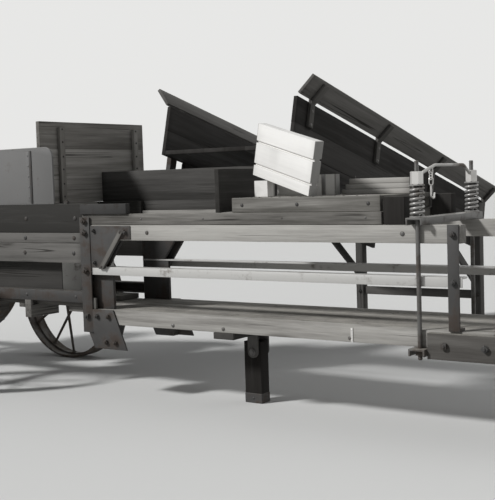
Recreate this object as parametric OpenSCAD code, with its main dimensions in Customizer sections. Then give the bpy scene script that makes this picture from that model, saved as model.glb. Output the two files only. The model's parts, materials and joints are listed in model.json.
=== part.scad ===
// Belt-driven hay press: a portable square baler with an open, railed bale chamber, a crank-driven
// plunger, a fold-up feed table across the feed opening, and two steel wheels with a drawbar.
// Millimetres. X runs along the machine to the discharge end, Y across it to the feed table, Z up from
// the ground. Stations along X are counted from the tension rods, places along Y from the chamber's
// centre line, and the last step moves the whole machine to the middle of its own outline.

/* [Bale chamber] */
// Inside width of the bale chamber
chamber_w = 440; // [400:5:480]
// Thickness of every side rail, across the machine
rail_t = 56; // [44:2:70]
// Height of the chamber floor above the ground
floor_top = 470; // [460:5:500]
// Thickness of the floor planks
floor_t = 30; // [20:1:40]
// Number of planks across the chamber floor
floor_planks = 3; // [2:1:5]
// Gap between neighbouring planks
plank_gap = 4; // [2:1:8]
// Depth of the bottom sills
sill_h = 78; // [70:1:100]
// Depth of the bearers under the floor
bearer_h = 40; // [25:1:45]
// Width of the bearers along the machine
bearer_w = 60; // [40:5:80]
// Height of the mid rail's lower edge above the floor
mid_up = 185; // [150:5:210]
// Depth of the mid rail
mid_h = 43; // [30:1:60]
// Wall of the mid rail's angle section
mid_t = 8; // [5:1:10]
// Height of the top rail's lower edge above the floor
top_up = 368; // [340:4:400]
// Depth of the top rail
top_h = 81; // [60:1:100]
// Depth of the band on the top rail
band_h = 58; // [40:1:70]
// Step of the band behind the top rail's faces
band_in = 4; // [2:1:8]
// Back face of the corner posts, counted back from the tension rods
post_back = 1983; // [1850:1:2050]
// Width of a corner post along the machine
post_w = 70; // [60:1:80]
// Thickness of the corner posts' angle section
post_t = 8; // [6:1:12]
// How far a corner post reaches below the sills
post_drop = 47; // [30:1:60]
// Length of the sills past the tension rods
sill_past = 330; // [250:5:400]
// Length of the top rails past the tension rods
rail_past = 190; // [120:5:240]
// Distance from the band's end to the tension rods
band_short = 180; // [120:5:240]
// Depth of the foot brackets below the sills
foot_h = 130; // [90:5:150]

/* [Tension gear] */
// Diameter of the tension rods
rod_d = 20; // [16:1:24]
// Gap between a tension rod and the rails
rod_clear = 4; // [2:0.5:8]
// Length of a tension rod above its spring
rod_up = 106; // [80:2:120]
// Width of the crossbars
bar_w = 75; // [64:1:90]
// Depth of the crossbars' channel section
bar_h = 31; // [28:1:40]
// Wall of the crossbars
bar_t = 8; // [6:1:10]
// How far a crossbar reaches past the rods
bar_over = 40; // [30:1:60]
// Outside diameter of the tension springs
spring_d = 65; // [56:1:70]
// Wire diameter of the tension springs
wire_d = 10; // [8:0.5:11]
// Height of a tension spring between its washers
spring_h = 128; // [110:1:140]
// Turns of a tension spring
spring_turns = 6; // [5:1:7]
// Thickness of the spring washers
washer_t = 6; // [4:1:8]
// Diameter of the long tension nuts
nut_d = 58; // [46:1:62]
// Height of the long tension nuts
nut_h = 55; // [45:1:65]
// Diameter of the tie bar between the tension nuts
tie_d = 14; // [10:1:16]

/* [Plunger and crank] */
// Throw of the crank, half of the plunger's stroke
crank_r = 420; // [380:5:430]
// Length of the pitman between its pins
pitman_l = 1250; // [1230:5:1300]
// Face of the drawn-back plunger, counted back from the tension rods
face_back = 2200; // [2150:5:2230]
// Length of the plunger
plunger_l = 620; // [560:5:640]
// Distance from the plunger's face to its wrist pin
wrist_back = 420; // [380:5:440]
// Gap between the plunger and the chamber walls
slide_gap = 6; // [5:0.5:8]
// Running gap under the plunger's shoes
shoe_gap = 0.3; // [0.2:0.1:1]
// Thickness of the plunger's walls
plunger_t = 40; // [30:1:44]
// Diameter of the wrist pin
wrist_d = 44; // [36:1:50]
// Diameter of the crank pin
pin_d = 56; // [48:1:60]
// Thickness of the pitman
pitman_t = 50; // [40:1:56]
// Depth of the pitman
pitman_h = 120; // [100:2:130]
// Thickness of the crank arm
arm_t = 50; // [40:1:56]
// Diameter of the crank shaft
crank_shaft_d = 70; // [60:1:80]
// Radial play of every turning pin and shaft
play = 0.06; // [0.03:0.01:0.1]
// Side gap between pieces that pass each other
pass_gap = 6; // [5:1:10]
// Length of the crank pin's stub in front of the arm
pin_stub = 6; // [4:1:10]

/* [Drive] */
// Radius of the large gear in the case
gear_r = 475; // [460:5:500]
// Radius of the pinion in the case
pinion_r = 95; // [85:1:100]
// Rise of the drive shaft over the crank shaft, as an angle
drive_rise = 15; // [10:1:25]
// Width of the gear case
case_w = 90; // [70:2:100]
// Diameter of the drive shaft
shaft_d = 50; // [40:1:60]
// Diameter of the flywheel
fly_d = 900; // [800:10:960]
// Width of the flywheel's rim
fly_w = 90; // [70:2:110]
// Length of the drive shaft's free end past the pulley
stub_l = 70; // [40:5:100]
// Diameter of the drive shaft's turned-down free end
stub_d = 48; // [36:1:50]
// Number of flywheel spokes
fly_spokes = 6; // [4:1:8]
// Diameter of the belt pulley
pulley_d = 400; // [300:10:460]
// Width of the belt pulley
pulley_w = 220; // [160:5:260]

/* [Frame and running gear] */
// Depth of one frame channel
beam_h = 60; // [50:2:70]
// Wall of the frame channels
beam_t = 8; // [6:1:10]
// Height of the upper frame channel's lower edge above the floor
beam_up = 30; // [20:1:40]
// Front end of the frame, counted back from the tension rods
frame_back = 4400; // [4350:10:4500]
// Height of the plunger housing's lower edge above the floor
housing_up = 243; // [200:5:260]
// Depth of the plunger housing's sides
housing_h = 320; // [280:5:340]
// Front end of the plunger housing, counted back from the tension rods
housing_back = 2860; // [2830:5:2880]
// Diameter of the transport wheels
wheel_d = 800; // [760:10:840]
// Width of the transport wheels
wheel_w = 130; // [100:5:160]
// Number of spokes in a transport wheel
wheel_spokes = 12; // [8:2:16]
// Distance between the transport wheels
track = 1240; // [1160:10:1400]
// Station of the wheels, counted back from the tension rods
axle_back = 2960; // [2940:5:2980]
// Diameter of the wheel spindles
spindle_d = 44; // [36:1:50]
// Length of the drawbar from the frame to the hitch pin
drawbar_l = 1100; // [900:10:1300]
// Diameter of the hitch pin's hole
hitch_d = 34; // [26:1:40]

/* [Feed table] */
// Slope of the feed table, falling away from the chamber
feed_slope = 14.5; // [8:0.5:16]
// Length of the feed table past its hinge
feed_l = 2455; // [2200:5:2600]
// Right side of the feed table, counted back from the tension rods
feed_right = 975; // [940:5:1000]
// Width of the feed table
feed_w = 880; // [800:5:920]
// Depth of the feed table's sides above its floor's underside
feed_h = 285; // [240:5:300]
// Depth of the sides' skirts below the floor
skirt_h = 65; // [40:5:90]
// How far the feed table reaches over the hopper, past its hinge shaft
feed_head = 128; // [100:2:132]
// Thickness of the feed table's boards
board_t = 25; // [20:1:32]
// Outward lean of the flare boards
flare_lean = 41; // [20:1:45]
// Width of the flare boards
flare_w = 125; // [100:5:160]
// Slit between side and flare boards
flare_slit = 20; // [12:1:30]
// Pitch of the feed table's slats
slat_pitch = 210; // [160:5:260]
// Diameter of the hinge shaft
hinge_d = 32; // [25:1:36]

/* [Hopper and deck] */
// Height of the tall end board above the plunger housing
end_board_h = 460; // [380:4:480]
// Height of the guards above the plunger housing
guard_h = 312; // [260:4:340]
// Thickness of the hopper's boards
hopper_t = 28; // [20:1:32]
// Gap between the deck and the hopper's right board
deck_gap = 72; // [50:1:160]
// Height of the deck above the bands
deck_h = 70; // [50:1:110]
// Length of the bale table past the sills
table_past = 620; // [500:10:800]
// Distance between the two bolt holes for a bale chute
chute_pitch = 340; // [300:10:400]
// Diameter of the chute's bolt holes
chute_bolt = 14; // [10:1:18]
// Length of the tilted divider block
block_l = 450; // [400:5:480]
// Thickness of the divider block
block_t = 50; // [40:1:60]
// Height of the divider block
block_h = 255; // [180:5:280]
// Tilt of the divider block, one end up on a chock
block_tilt = 14; // [8:1:18]
// Turn of the divider block across the deck
block_turn = 20; // [10:1:24]

/* [Hidden] */
$fn = 64;

// Chamber levels and faces
rail_in = chamber_w / 2;
rail_out = rail_in + rail_t;
floor_under = floor_top - floor_t;
sill_z = floor_top - sill_h;
mid_z = floor_top + mid_up;
top_z = floor_top + top_up;
band_z = top_z + top_h;
deck_z = band_z + band_h;
post_x = -post_back;
rail_x = post_x + post_t;
rod_y = rail_out + rod_clear + rod_d / 2;

// Tension gear levels
bar_y = rod_y + bar_over;
bar_top = band_z + bar_h;
spring_z = bar_top + washer_t;
nut_z = spring_z + spring_h + washer_t;
rod_top = spring_z + spring_h + rod_up;

// Plunger, pitman and crank places, with the plunger drawn back
face_x = -face_back;
wrist_x = face_x - wrist_back;
crank_x = wrist_x - pitman_l + crank_r;
plunger_z = floor_top + slide_gap;
plunger_top = band_z - slide_gap + 1;
crank_z = (plunger_z + plunger_top) / 2;
plunger_y = rail_in - slide_gap;
eye_r = 62;
arm_y = pitman_t / 2 + 3 + pass_gap + pin_stub;
arm_back = arm_y + arm_t;
swing_r = crank_r + eye_r;

// Drive places
gear_gap = gear_r + pinion_r;
drive_x = crank_x - gear_gap * cos(drive_rise);
drive_z = crank_z + gear_gap * sin(drive_rise);
case_y = arm_back + pass_gap + 4;
case_back = case_y + case_w;
fly_y = -(rail_out + 134 + fly_w);
pulley_y = rail_out + 54;

// Frame places
beam_z = floor_top + beam_up;
low_beam_z = beam_z - beam_h;
beam_top = beam_z + beam_h;
frame_x = -frame_back;
low_beam_end = -axle_back + 260;
housing_z = floor_top + housing_up;
housing_top = housing_z + housing_h;
housing_x = -housing_back;
housing_y = rail_out - 20;
slide_end = face_x + 50;
slot_y = 60;
axle_x = -axle_back;
axle_z = wheel_d / 2;
wheel_y = track / 2;
hub_w = wheel_w + 20;
cap_y = wheel_y + hub_w / 2 + 20;
hitch_x = frame_x - drawbar_l;
hitch_r = 45;
hitch_z = low_beam_z + 15;

// Stand and prop places
stand_x = frame_x - 300;
stand_z = low_beam_z - 60;
leg_x = -1055;
leg_pin_x = leg_x + 15;
leg_pin_z = sill_z - 127;

// Feed table places: its own frame has s along the slope and n square to it, from the hinge shaft
hinge_y = rail_out + 124;
hinge_z = housing_top + 268;
feed_x1 = -feed_right;
feed_x0 = feed_x1 - feed_w;
corner = 45;
feed_top = feed_h - corner;
flare_top = feed_top + flare_slit + flare_w * cos(flare_lean);
leg_gap = 0.3;
leg_s = feed_l - 155;
leg_y = hinge_y + leg_s * cos(feed_slope);
leg_top = hinge_z - leg_s * sin(feed_slope) + 60;
brace_y = leg_y - 760;
brace_z = hinge_z - (brace_y - hinge_y) * tan(feed_slope);

// Hopper places
hopper_x0 = feed_x0 - 475;
hopper_x1 = feed_x1 - 115;
end_board_y = hinge_y + 230;
guard_x = housing_x - 90;
far_y = rail_out - 8;
far_top = hinge_z - 95;
deck_x0 = hopper_x1 + hopper_t + deck_gap;
deck_x1 = -band_short - 10;
table_x = sill_past + table_past;

// Middle of the machine's outline
mid_x = (table_x + hitch_x - hitch_r) / 2;
mid_y = (hinge_y + feed_l * cos(feed_slope) + flare_top * sin(feed_slope) - cap_y - 12) / 2;

// A box between two places on each axis
module block(x, y, z) {
    translate([x[0], y[0], z[0]]) cube([x[1] - x[0], y[1] - y[0], z[1] - z[0]]);
}

// A round bar across the machine
module across(x, z, y, r) {
    translate([x, y[0], z]) rotate([-90, 0, 0]) cylinder(r = r, h = y[1] - y[0]);
}

// A plate across the machine from an outline in X and Z
module plate(y) {
    translate([0, y[1], 0]) rotate([90, 0, 0]) linear_extrude(y[1] - y[0]) children();
}

module both_sides() {
    children();
    mirror([0, 1, 0]) children();
}

// A channel along X with its web on the outside
module channel(x, z, h) {
    difference() {
        block(x, [rail_in, rail_out], [z, z + h]);
        block([x[0] - 1, x[1] + 1], [rail_in - 1, rail_out - beam_t], [z + beam_t, z + h - beam_t]);
    }
}

// The feed table's own frame
module on_feed() {
    translate([0, hinge_y, hinge_z]) rotate([-feed_slope, 0, 0]) children();
}

module chamber_floor() color("burlywood") {
    plank_w = (chamber_w - (floor_planks - 1) * plank_gap) / floor_planks;
    for (i = [0:floor_planks - 1])
        translate([slide_end, -rail_in + i * (plank_w + plank_gap), floor_under])
            cube([sill_past - slide_end, plank_w, floor_t]);
    for (x = [post_x + 100, -1400, leg_x - bearer_w / 2, -380, sill_past - bearer_w])
        block([x, x + bearer_w], [-rail_in, rail_in], [floor_under - bearer_h, floor_under]);
}

module sills() color("silver") {
    both_sides() block([rail_x, sill_past], [rail_in, rail_out], [sill_z, floor_top]);
}

module mid_rails() color("gray") {
    both_sides() {
        block([rail_x, rail_past], [rail_out - mid_t, rail_out], [mid_z, mid_z + mid_h]);
        block([rail_x, rail_past], [rail_in, rail_out], [mid_z + mid_h - mid_t, mid_z + mid_h]);
    }
}

module top_rails() color("silver") {
    both_sides() block([rail_x, rail_past], [rail_in, rail_out], [top_z, band_z]);
}

module rail_bands() color("darkgray") {
    both_sides()
        block([rail_x, -band_short], [rail_in, rail_out - band_in], [band_z, deck_z]);
}

// Angle posts: one leg outside the rails, the other behind their ends; straps hold the rails' free ends
module corner_posts() color("dimgray") {
    both_sides() {
        block([post_x, post_x + post_w], [rail_out, rail_out + post_t], [sill_z - post_drop, deck_z - 17]);
        block([post_x, rail_x], [rail_in, rail_out], [sill_z - post_drop, deck_z - 17]);
        block([rail_past - 60, rail_past - 10], [rail_out, rail_out + mid_t], [floor_top + 12, band_z]);
        block([rail_past - 60, rail_past - 10], [rail_in + 8, rail_out], [floor_top, floor_top + 12]);
        block([rail_past - 60, rail_past - 10], [rail_out - 1, rail_out + mid_t], [floor_top, floor_top + 13]);
    }
}

module side_panels() color("dimgray") {
    upper = [[rail_x, mid_z + mid_h], [rail_x + 147, mid_z + mid_h], [rail_x + 252, top_z], [rail_x, top_z]];
    cover = [[post_x + post_w, mid_z + mid_h - 4], [rail_x + 138, mid_z + mid_h - 4],
             [rail_x + 258, top_z + 6], [rail_x + 345, top_z + 6], [rail_x + 345, band_z - 4],
             [post_x + post_w, band_z - 4]];
    batten = [[rail_x + 124, mid_z + mid_h - 10], [rail_x + 158, mid_z + mid_h - 10],
              [rail_x + 313, band_z - 26], [rail_x + 279, band_z - 26]];
    both_sides() {
        plate([rail_in + 2, rail_in + 20]) polygon(upper);
        block([rail_x, rail_x + 178], [rail_in + 2, rail_in + 20], [floor_top, mid_z + mid_h - mid_t]);
        plate([rail_out, rail_out + 4]) polygon(cover);
        plate([rail_out, rail_out + 16]) polygon(batten);
    }
}

// Blocks under the sills' ends, and the plates that cover them and the sills' faces
module foot_brackets() color("dimgray") {
    x0 = rail_x + 2;
    low = sill_z - foot_h;
    both_sides() {
        plate([rail_in + 6, rail_out])
            polygon([[x0, sill_z], [x0 + 240, sill_z], [x0 + 190, low], [x0 + 60, low]]);
        plate([rail_out, rail_out + post_t])
            polygon([[post_x + post_w, floor_top], [x0 + 206, floor_top], [x0 + 295, low], [x0 + 120, low],
                     [post_x + post_w, sill_z - 40]]);
    }
}

module main_beams() color("gray") {
    both_sides() {
        channel([frame_x, post_x], beam_z, beam_h);
        channel([frame_x, low_beam_end], low_beam_z, beam_h);
    }
    for (x = [frame_x, drive_x - 53])
        block([x, x + 56], [-rail_in, rail_in], [low_beam_z, beam_z]);
}

// Stepped side timbers of the plunger housing, on short stays from the frame
module housing_sides() color("dimgray") {
    profile = [[rail_in, housing_z], [rail_out, housing_z], [rail_out, housing_z + 107],
               [rail_out - 8, housing_z + 107], [rail_out - 8, housing_z + 163],
               [housing_y, housing_z + 163], [housing_y, housing_top], [rail_in, housing_top]];
    both_sides() {
        translate([housing_x, 0, 0]) rotate([90, 0, 90])
            linear_extrude(post_x - housing_x) polygon(profile);
        block([housing_x, housing_x + 60], [rail_in + 8, rail_out - 8], [beam_top, housing_z]);
    }
}

// Floor strips under the plunger, with an open slot for the swinging pitman
module housing_slides() color("burlywood") {
    both_sides() {
        block([housing_x, slide_end], [slot_y, rail_in], [floor_under, floor_top]);
        for (x = [housing_x, (housing_x + slide_end) / 2, post_x - 90]) {
            block([x, x + 50], [slot_y, rail_out], [floor_under - bearer_h, floor_under]);
            if (x > low_beam_end) block([x, x + 50], [rail_out - 16, rail_out], [floor_under - 1, beam_z]);
        }
    }
}

module guard_panels() color("lightgray") {
    r = 55;
    for (side = [-1, 1]) {
        x1 = side < 0 ? hopper_x0 + 132 : hopper_x0 - 2;
        y = side < 0 ? [-housing_y, -housing_y + 12] : [housing_y - 12, housing_y];
        plate(y) {
            translate([guard_x, housing_top]) square([x1 - guard_x, guard_h - r]);
            translate([guard_x, housing_top]) square([x1 - guard_x - r, guard_h]);
            translate([x1 - r, housing_top + guard_h - r]) circle(r = r);
        }
        translate([0, side < 0 ? -3 : 0, 0]) plate(side < 0 ? [y[0], y[0] + 3] : [y[1], y[1] + 3])
            translate([x1 - 202, housing_top + 20]) square([32, guard_h - 40]);
    }
}

// Tall planked board across the machine at the feed opening's front
module end_board() color("dimgray") {
    n = 3;
    plank = (end_board_h - (n - 1) * plank_gap) / n;
    x = [hopper_x0, hopper_x0 + hopper_t];
    for (i = [0:n - 1])
        translate([x[0], -housing_y + 16, housing_top + i * (plank + plank_gap)])
            cube([hopper_t, housing_y - 16 + end_board_y, plank]);
    for (y = [-105, end_board_y - 110])
        block([x[1], x[1] + 22], [y, y + 40], [housing_top, housing_top + end_board_h - 30]);
}

module hopper_boards() color("dimgray") {
    far = [[hopper_x0 + hopper_t, housing_top], [rail_x, housing_top], [rail_x, deck_z],
           [hopper_x1, deck_z], [hopper_x1, far_top], [hopper_x0 + hopper_t, far_top]];
    plate([far_y - 24, far_y]) polygon(far);
    block([hopper_x1, hopper_x1 + hopper_t], [-rail_out + 14, rail_out - 14], [deck_z, deck_z + 213]);
}

module hopper_lip() color("black") {
    block([rail_x, -1650], [-rail_out - 8, -rail_out + 24], [deck_z, deck_z + 53]);
}

module deck() color("wheat") {
    runner_y = rail_out - 14;
    n = 7;
    w = (deck_x1 - deck_x0 - (n - 1) * plank_gap) / n;
    both_sides() block([deck_x0, deck_x1], [runner_y - 30, runner_y], [deck_z, deck_z + deck_h]);
    for (i = [0:n - 1])
        translate([deck_x0 + i * (w + plank_gap), -runner_y + 30, deck_z + deck_h - 25])
            cube([w, 2 * runner_y - 60, 25]);
    for (i = [0:2])
        block([-555 + 20 * i, deck_x1 - 5], [40, 190], [deck_z + deck_h + 25 * i, deck_z + deck_h + 25 * i + 25]);
}

// Blocks on the top rails that stop the deck and the bands
module deck_stops() color("dimgray") {
    both_sides() block([-band_short + 8, -70], [rail_in - 4, rail_out - 4], [band_z, band_z + 121]);
}

// Wooden divider blocks, put between two bales, with grooves for the tie wires. One lies tilted, its far
// end up on a chock, and two short ones lie flat behind it.
module divider_block() color("wheat") {
    z = deck_z + deck_h + 0.3;
    groove = 12;
    translate([-560, -rail_out + 21, z]) rotate([0, 0, -block_turn]) {
        rotate([0, block_tilt, 0]) difference() {
            translate([-block_l, 0, 0]) cube([block_l, block_t, block_h]);
            for (k = [0.22, 0.655], y = [-1, block_t - groove + 1])
                translate([-block_l - 1, y, k * block_h - 5]) cube([block_l + 2, groove, 10]);
        }
        block([-block_l + 20, -320], [2, block_t - 2], [-0.3, 320 * tan(block_tilt) - 0.6]);
    }
    for (x = [[-900, -640], [-622, -562]])
        block(x, [0, 38], [z - 0.3, z + 100]);
}

// Channel crossbars, webs to the springs above and to the sills below
module crossbars() color("gray") {
    for (lower = [0, 1])
        translate([0, 0, lower == 1 ? sill_z : bar_top]) difference() {
            block([-bar_w / 2, bar_w / 2], [-bar_y, bar_y], [-bar_h, 0]);
            block([-bar_w / 2 + bar_t, bar_w / 2 - bar_t], [-bar_y - 1, bar_y + 1], [-bar_h - 1, -bar_t]);
            for (y = [-rod_y, rod_y])
                translate([0, y, -bar_h]) cylinder(d = rod_d + 1, h = bar_h + 1);
        }
}

module tension_rods() color("silver") {
    both_sides() translate([0, rod_y, 0]) {
        translate([0, 0, sill_z - bar_h - 20]) cylinder(d = rod_d, h = rod_top - sill_z + bar_h + 20);
        translate([0, 0, sill_z - bar_t - 18]) cylinder(d = rod_d * 2, h = 18, $fn = 6);
    }
}

// One coil spring, each turn made of two tilted half rings
module coil() {
    mean_r = (spring_d - wire_d) / 2;
    rise = (spring_h - wire_d) / spring_turns;
    tilt = atan(rise / 2 / (2 * mean_r));
    for (i = [0:spring_turns - 1]) translate([0, 0, wire_d / 2 + rise * i]) {
        translate([0, 0, rise / 4]) rotate([0, tilt, 0])
            rotate_extrude(angle = 180, $fn = 24) translate([mean_r, 0]) circle(d = wire_d);
        translate([0, 0, rise * 3 / 4]) rotate([0, -tilt, 180])
            rotate_extrude(angle = 180, $fn = 24) translate([mean_r, 0]) circle(d = wire_d);
    }
}

module tension_springs() color("lightgray") {
    both_sides() translate([0, rod_y, 0]) {
        translate([0, 0, spring_z]) coil();
        for (z = [bar_top, spring_z + spring_h])
            translate([0, 0, z]) difference() {
                cylinder(d = spring_d + 2, h = washer_t);
                translate([0, 0, -1]) cylinder(d = rod_d + 1, h = washer_t + 2);
            }
    }
}

module tension_nuts() color("silver") {
    both_sides() translate([0, rod_y, nut_z]) difference() {
        cylinder(d = nut_d, h = nut_h);
        translate([0, 0, -1]) cylinder(d = rod_d + 0.4, h = nut_h + 2);
    }
}

// Bent bar from one long nut to the other
module tie_bar() color("silver") {
    y0 = rod_y - nut_d / 2;
    low = nut_z + nut_h - 14;
    high = nut_z + nut_h + 26;
    points = [[-y0 - 6, low], [-107, high], [200, high], [y0 + 6, low]];
    difference() {
        union() {
            for (i = [0:2]) {
                a = points[i];
                b = points[i + 1];
                translate([0, a[0], a[1]]) rotate([-atan2(b[0] - a[0], b[1] - a[1]), 0, 0])
                    cylinder(d = tie_d, h = norm(b - a), $fn = 24);
            }
            for (i = [1, 2])
                translate([0, points[i][0], points[i][1]]) sphere(d = tie_d + 1.5, $fn = 24);
        }
        both_sides() translate([0, rod_y, nut_z]) cylinder(d = nut_d, h = nut_h);
    }
}

module bale_table() color("burlywood") {
    x0 = bar_w / 2 + 3;
    both_sides() block([x0, table_x], [rail_out, rail_out + 30], [floor_top - 120, floor_top - 8]);
    n = 4;
    w = (2 * rail_out - (n - 1) * plank_gap) / n;
    difference() {
        union() {
            for (i = [0:n - 1])
                translate([sill_past, -rail_out + i * (w + plank_gap), floor_under])
                    cube([table_past, w, floor_t]);
            block([table_x - 90, table_x - 30], [-rail_out, rail_out],
                  [floor_under - bearer_h, floor_under]);
        }
        for (y = [-chute_pitch / 2, chute_pitch / 2])
            translate([table_x - 60, y, floor_under - bearer_h - 1])
                cylinder(d = chute_bolt, h = floor_t + bearer_h + 2);
    }
    block([sill_past + 60, sill_past + 120], [-rail_out, rail_out], [floor_under - bearer_h, floor_under]);
}

// Each wheel turns on a stub axle on a plate outside the frame, clear of the pitman's swing
module stub_axles() color("dimgray") {
    both_sides() {
        plate([rail_out, rail_out + 16]) polygon([[axle_x - 40, axle_z - 45], [axle_x + 40, axle_z - 45],
            [axle_x + 110, beam_z], [axle_x + 110, beam_top - 8], [axle_x - 110, beam_top - 8],
            [axle_x - 110, beam_z]]);
        block([axle_x - 25, axle_x + 25], [rail_out + 15, wheel_y - hub_w / 2 - 10], [axle_z - 25, axle_z + 25]);
        across(axle_x, axle_z, [wheel_y - hub_w / 2 - 10, cap_y], spindle_d / 2);
        across(axle_x, axle_z, [cap_y - 12, cap_y + 12], spindle_d / 2 + 9);
    }
}

// Steel wheel: flat rim, hub and two rows of round spokes
module wheel() {
    rotate([90, 0, 0]) {
        difference() {
            union() {
                rotate_extrude($fn = 64) {
                    translate([wheel_d / 2 - 12, -wheel_w / 2]) square([12, wheel_w]);
                    translate([wheel_d / 2 - 24, -12]) square([14, 24]);
                }
                cylinder(r = 52, h = hub_w, center = true);
                for (i = [0:wheel_spokes - 1]) {
                    lean = i % 2 == 0 ? 1 : -1;
                    out = atan((hub_w / 2 - 25) / (wheel_d / 2 - 60));
                    rotate([0, 0, i * 360 / wheel_spokes]) translate([45, 0, lean * (hub_w / 2 - 22)])
                        rotate([0, 90 + lean * out, 0]) cylinder(r = 9, h = wheel_d / 2 - 60, $fn = 16);
                }
            }
            cylinder(r = spindle_d / 2 + play, h = hub_w + 2, center = true);
        }
    }
}

module wheel_near() color("dimgray") translate([axle_x, -wheel_y, axle_z]) wheel();

module wheel_far() color("dimgray") translate([axle_x, wheel_y, axle_z]) wheel();

module drawbar() color("gray") {
    join_x = hitch_x + 220;
    both_sides() translate([0, 0, low_beam_z]) linear_extrude(beam_h)
        polygon([[frame_x, rail_in + 30], [frame_x, rail_in - 30], [join_x, 10], [join_x, hitch_r - 8]]);
    difference() {
        union() {
            block([hitch_x, join_x + 150], [-hitch_r, hitch_r], [hitch_z, hitch_z + 30]);
            translate([hitch_x, 0, hitch_z]) cylinder(r = hitch_r, h = 30);
        }
        translate([hitch_x, 0, hitch_z - 1]) cylinder(d = hitch_d, h = 32);
    }
}

module stand_bracket() color("dimgray") {
    block([stand_x - 50, stand_x + 50], [-165, 165], [low_beam_z - 12, low_beam_z]);
    both_sides() plate([35, 47]) {
        translate([stand_x - 30, stand_z]) square([60, low_beam_z - 12 - stand_z]);
        translate([stand_x, stand_z]) circle(r = 30);
    }
    across(stand_x, stand_z, [-47, 47], 10);
}

module front_stand() color("gray") {
    difference() {
        union() {
            across(stand_x, stand_z, [-27, 27], 28);
            block([stand_x - 22, stand_x + 22], [-22, 22], [10, stand_z]);
            block([stand_x - 72, stand_x + 32], [-52, 52], [0, 12]);
        }
        across(stand_x, stand_z, [-28, 28], 10 + play);
    }
}

module leg_bracket() color("dimgray") {
    block([leg_x - 60, leg_x + 60], [-rail_out, rail_out], [sill_z - 32, sill_z]);
    both_sides() plate([42, 54]) {
        translate([leg_pin_x - 30, leg_pin_z]) square([60, sill_z - 32 - leg_pin_z]);
        translate([leg_pin_x, leg_pin_z]) circle(r = 30);
    }
    across(leg_pin_x, leg_pin_z, [-54, 54], 12);
}

module prop_leg() color("saddlebrown") {
    difference() {
        block([leg_x - 50, leg_x + 50], [-35, 35], [0, leg_pin_z + 50]);
        across(leg_pin_x, leg_pin_z, [-36, 36], 12 + play);
    }
}

module gear_case() color("dimgray") {
    difference() {
        union() {
            across(crank_x, crank_z, [case_y, case_back], gear_r + 30);
            across(drive_x, drive_z, [case_y, case_back], pinion_r + 30);
            for (x = [crank_x - 350, crank_x + 250])
                block([x, x + 100], [case_back - 1, rail_in], [low_beam_z, beam_top]);
        }
        across(crank_x, crank_z, [case_y - 1, case_back + 1], crank_shaft_d / 2 + play);
        across(drive_x, drive_z, [case_y - 1, case_back + 1], shaft_d / 2 + 1);
    }
}

// Bored pedestal on a frame beam
module pedestal(x, z, half, boss, bore, y) {
    difference() {
        plate(y) {
            polygon([[x - half, beam_top], [x + half, beam_top], [x + half, beam_top + 20],
                     [x + boss, z], [x - boss, z], [x - half, beam_top + 20]]);
            translate([x, z]) circle(r = boss);
        }
        across(x, z, [y[0] - 1, y[1] + 1], bore);
    }
}

module crank_bearing() color("dimgray") {
    pedestal(crank_x, crank_z, 110, crank_shaft_d / 2 + 30, crank_shaft_d / 2 + play,
             [rail_in + 6, rail_out - 6]);
}

module drive_stands() color("dimgray") {
    both_sides() pedestal(drive_x, drive_z, 150, shaft_d / 2 + 25, shaft_d / 2 + play,
                          [rail_in + 6, rail_out - 6]);
}

// Overhung crank: arm, counterweight, shaft and the pin that drives the pitman
module crank() color("gray") {
    plate([arm_y, arm_back]) {
        translate([crank_x, crank_z]) {
            translate([-crank_r, 0]) circle(r = eye_r);
            circle(r = 100);
            polygon([[0, 95], [-crank_r, eye_r - 4], [-crank_r, 4 - eye_r], [0, -95]]);
            intersection() {
                circle(r = 330);
                polygon([[0, 0], [400, 330], [400, -330]]);
            }
        }
    }
    across(crank_x, crank_z, [arm_back - 1, rail_out + 20], crank_shaft_d / 2);
    across(crank_x - crank_r, crank_z, [arm_y - pin_stub, arm_y + 1], pin_d / 2);
}

module pitman() color("saddlebrown") {
    difference() {
        union() {
            plate([-pitman_t / 2, pitman_t / 2])
                polygon([[wrist_x, crank_z + 44], [wrist_x - 200, crank_z + pitman_h / 2],
                         [wrist_x - pitman_l + 200, crank_z + pitman_h / 2],
                         [wrist_x - pitman_l, crank_z + 50], [wrist_x - pitman_l, crank_z - 50],
                         [wrist_x - pitman_l + 200, crank_z - pitman_h / 2],
                         [wrist_x - 200, crank_z - pitman_h / 2], [wrist_x, crank_z - 44]]);
            for (x = [wrist_x, wrist_x - pitman_l])
                across(x, crank_z, [-pitman_t / 2 - 3, pitman_t / 2 + 3], eye_r);
        }
        across(wrist_x, crank_z, [-50, 50], wrist_d / 2 + play);
        across(wrist_x - pitman_l, crank_z, [-50, 50], pin_d / 2 + play);
    }
}

module plunger() color("darkgray") {
    back = face_x - plunger_l;
    z = [plunger_z, plunger_top];
    block([face_x - plunger_t, face_x], [-plunger_y, plunger_y], z);
    both_sides() block([back, face_x - plunger_t], [plunger_y - plunger_t, plunger_y], z);
    block([back, face_x - plunger_t], [-plunger_y, plunger_y], [z[0], z[0] + plunger_t]);
    block([back, face_x - plunger_t], [-plunger_y, plunger_y], [z[1] - plunger_t, z[1]]);
    both_sides() block([back, face_x], [slot_y + 30, rail_in - 30], [floor_top + shoe_gap, z[0] + 1]);
    across(wrist_x, crank_z, [-plunger_y + plunger_t - 1, plunger_y - plunger_t + 1], wrist_d / 2);
}

module drive_shaft() color("silver") {
    across(drive_x, drive_z, [fly_y - 20, pulley_y + pulley_w], shaft_d / 2);
    across(drive_x, drive_z, [pulley_y + pulley_w - 1, pulley_y + pulley_w + stub_l], stub_d / 2);
}

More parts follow.
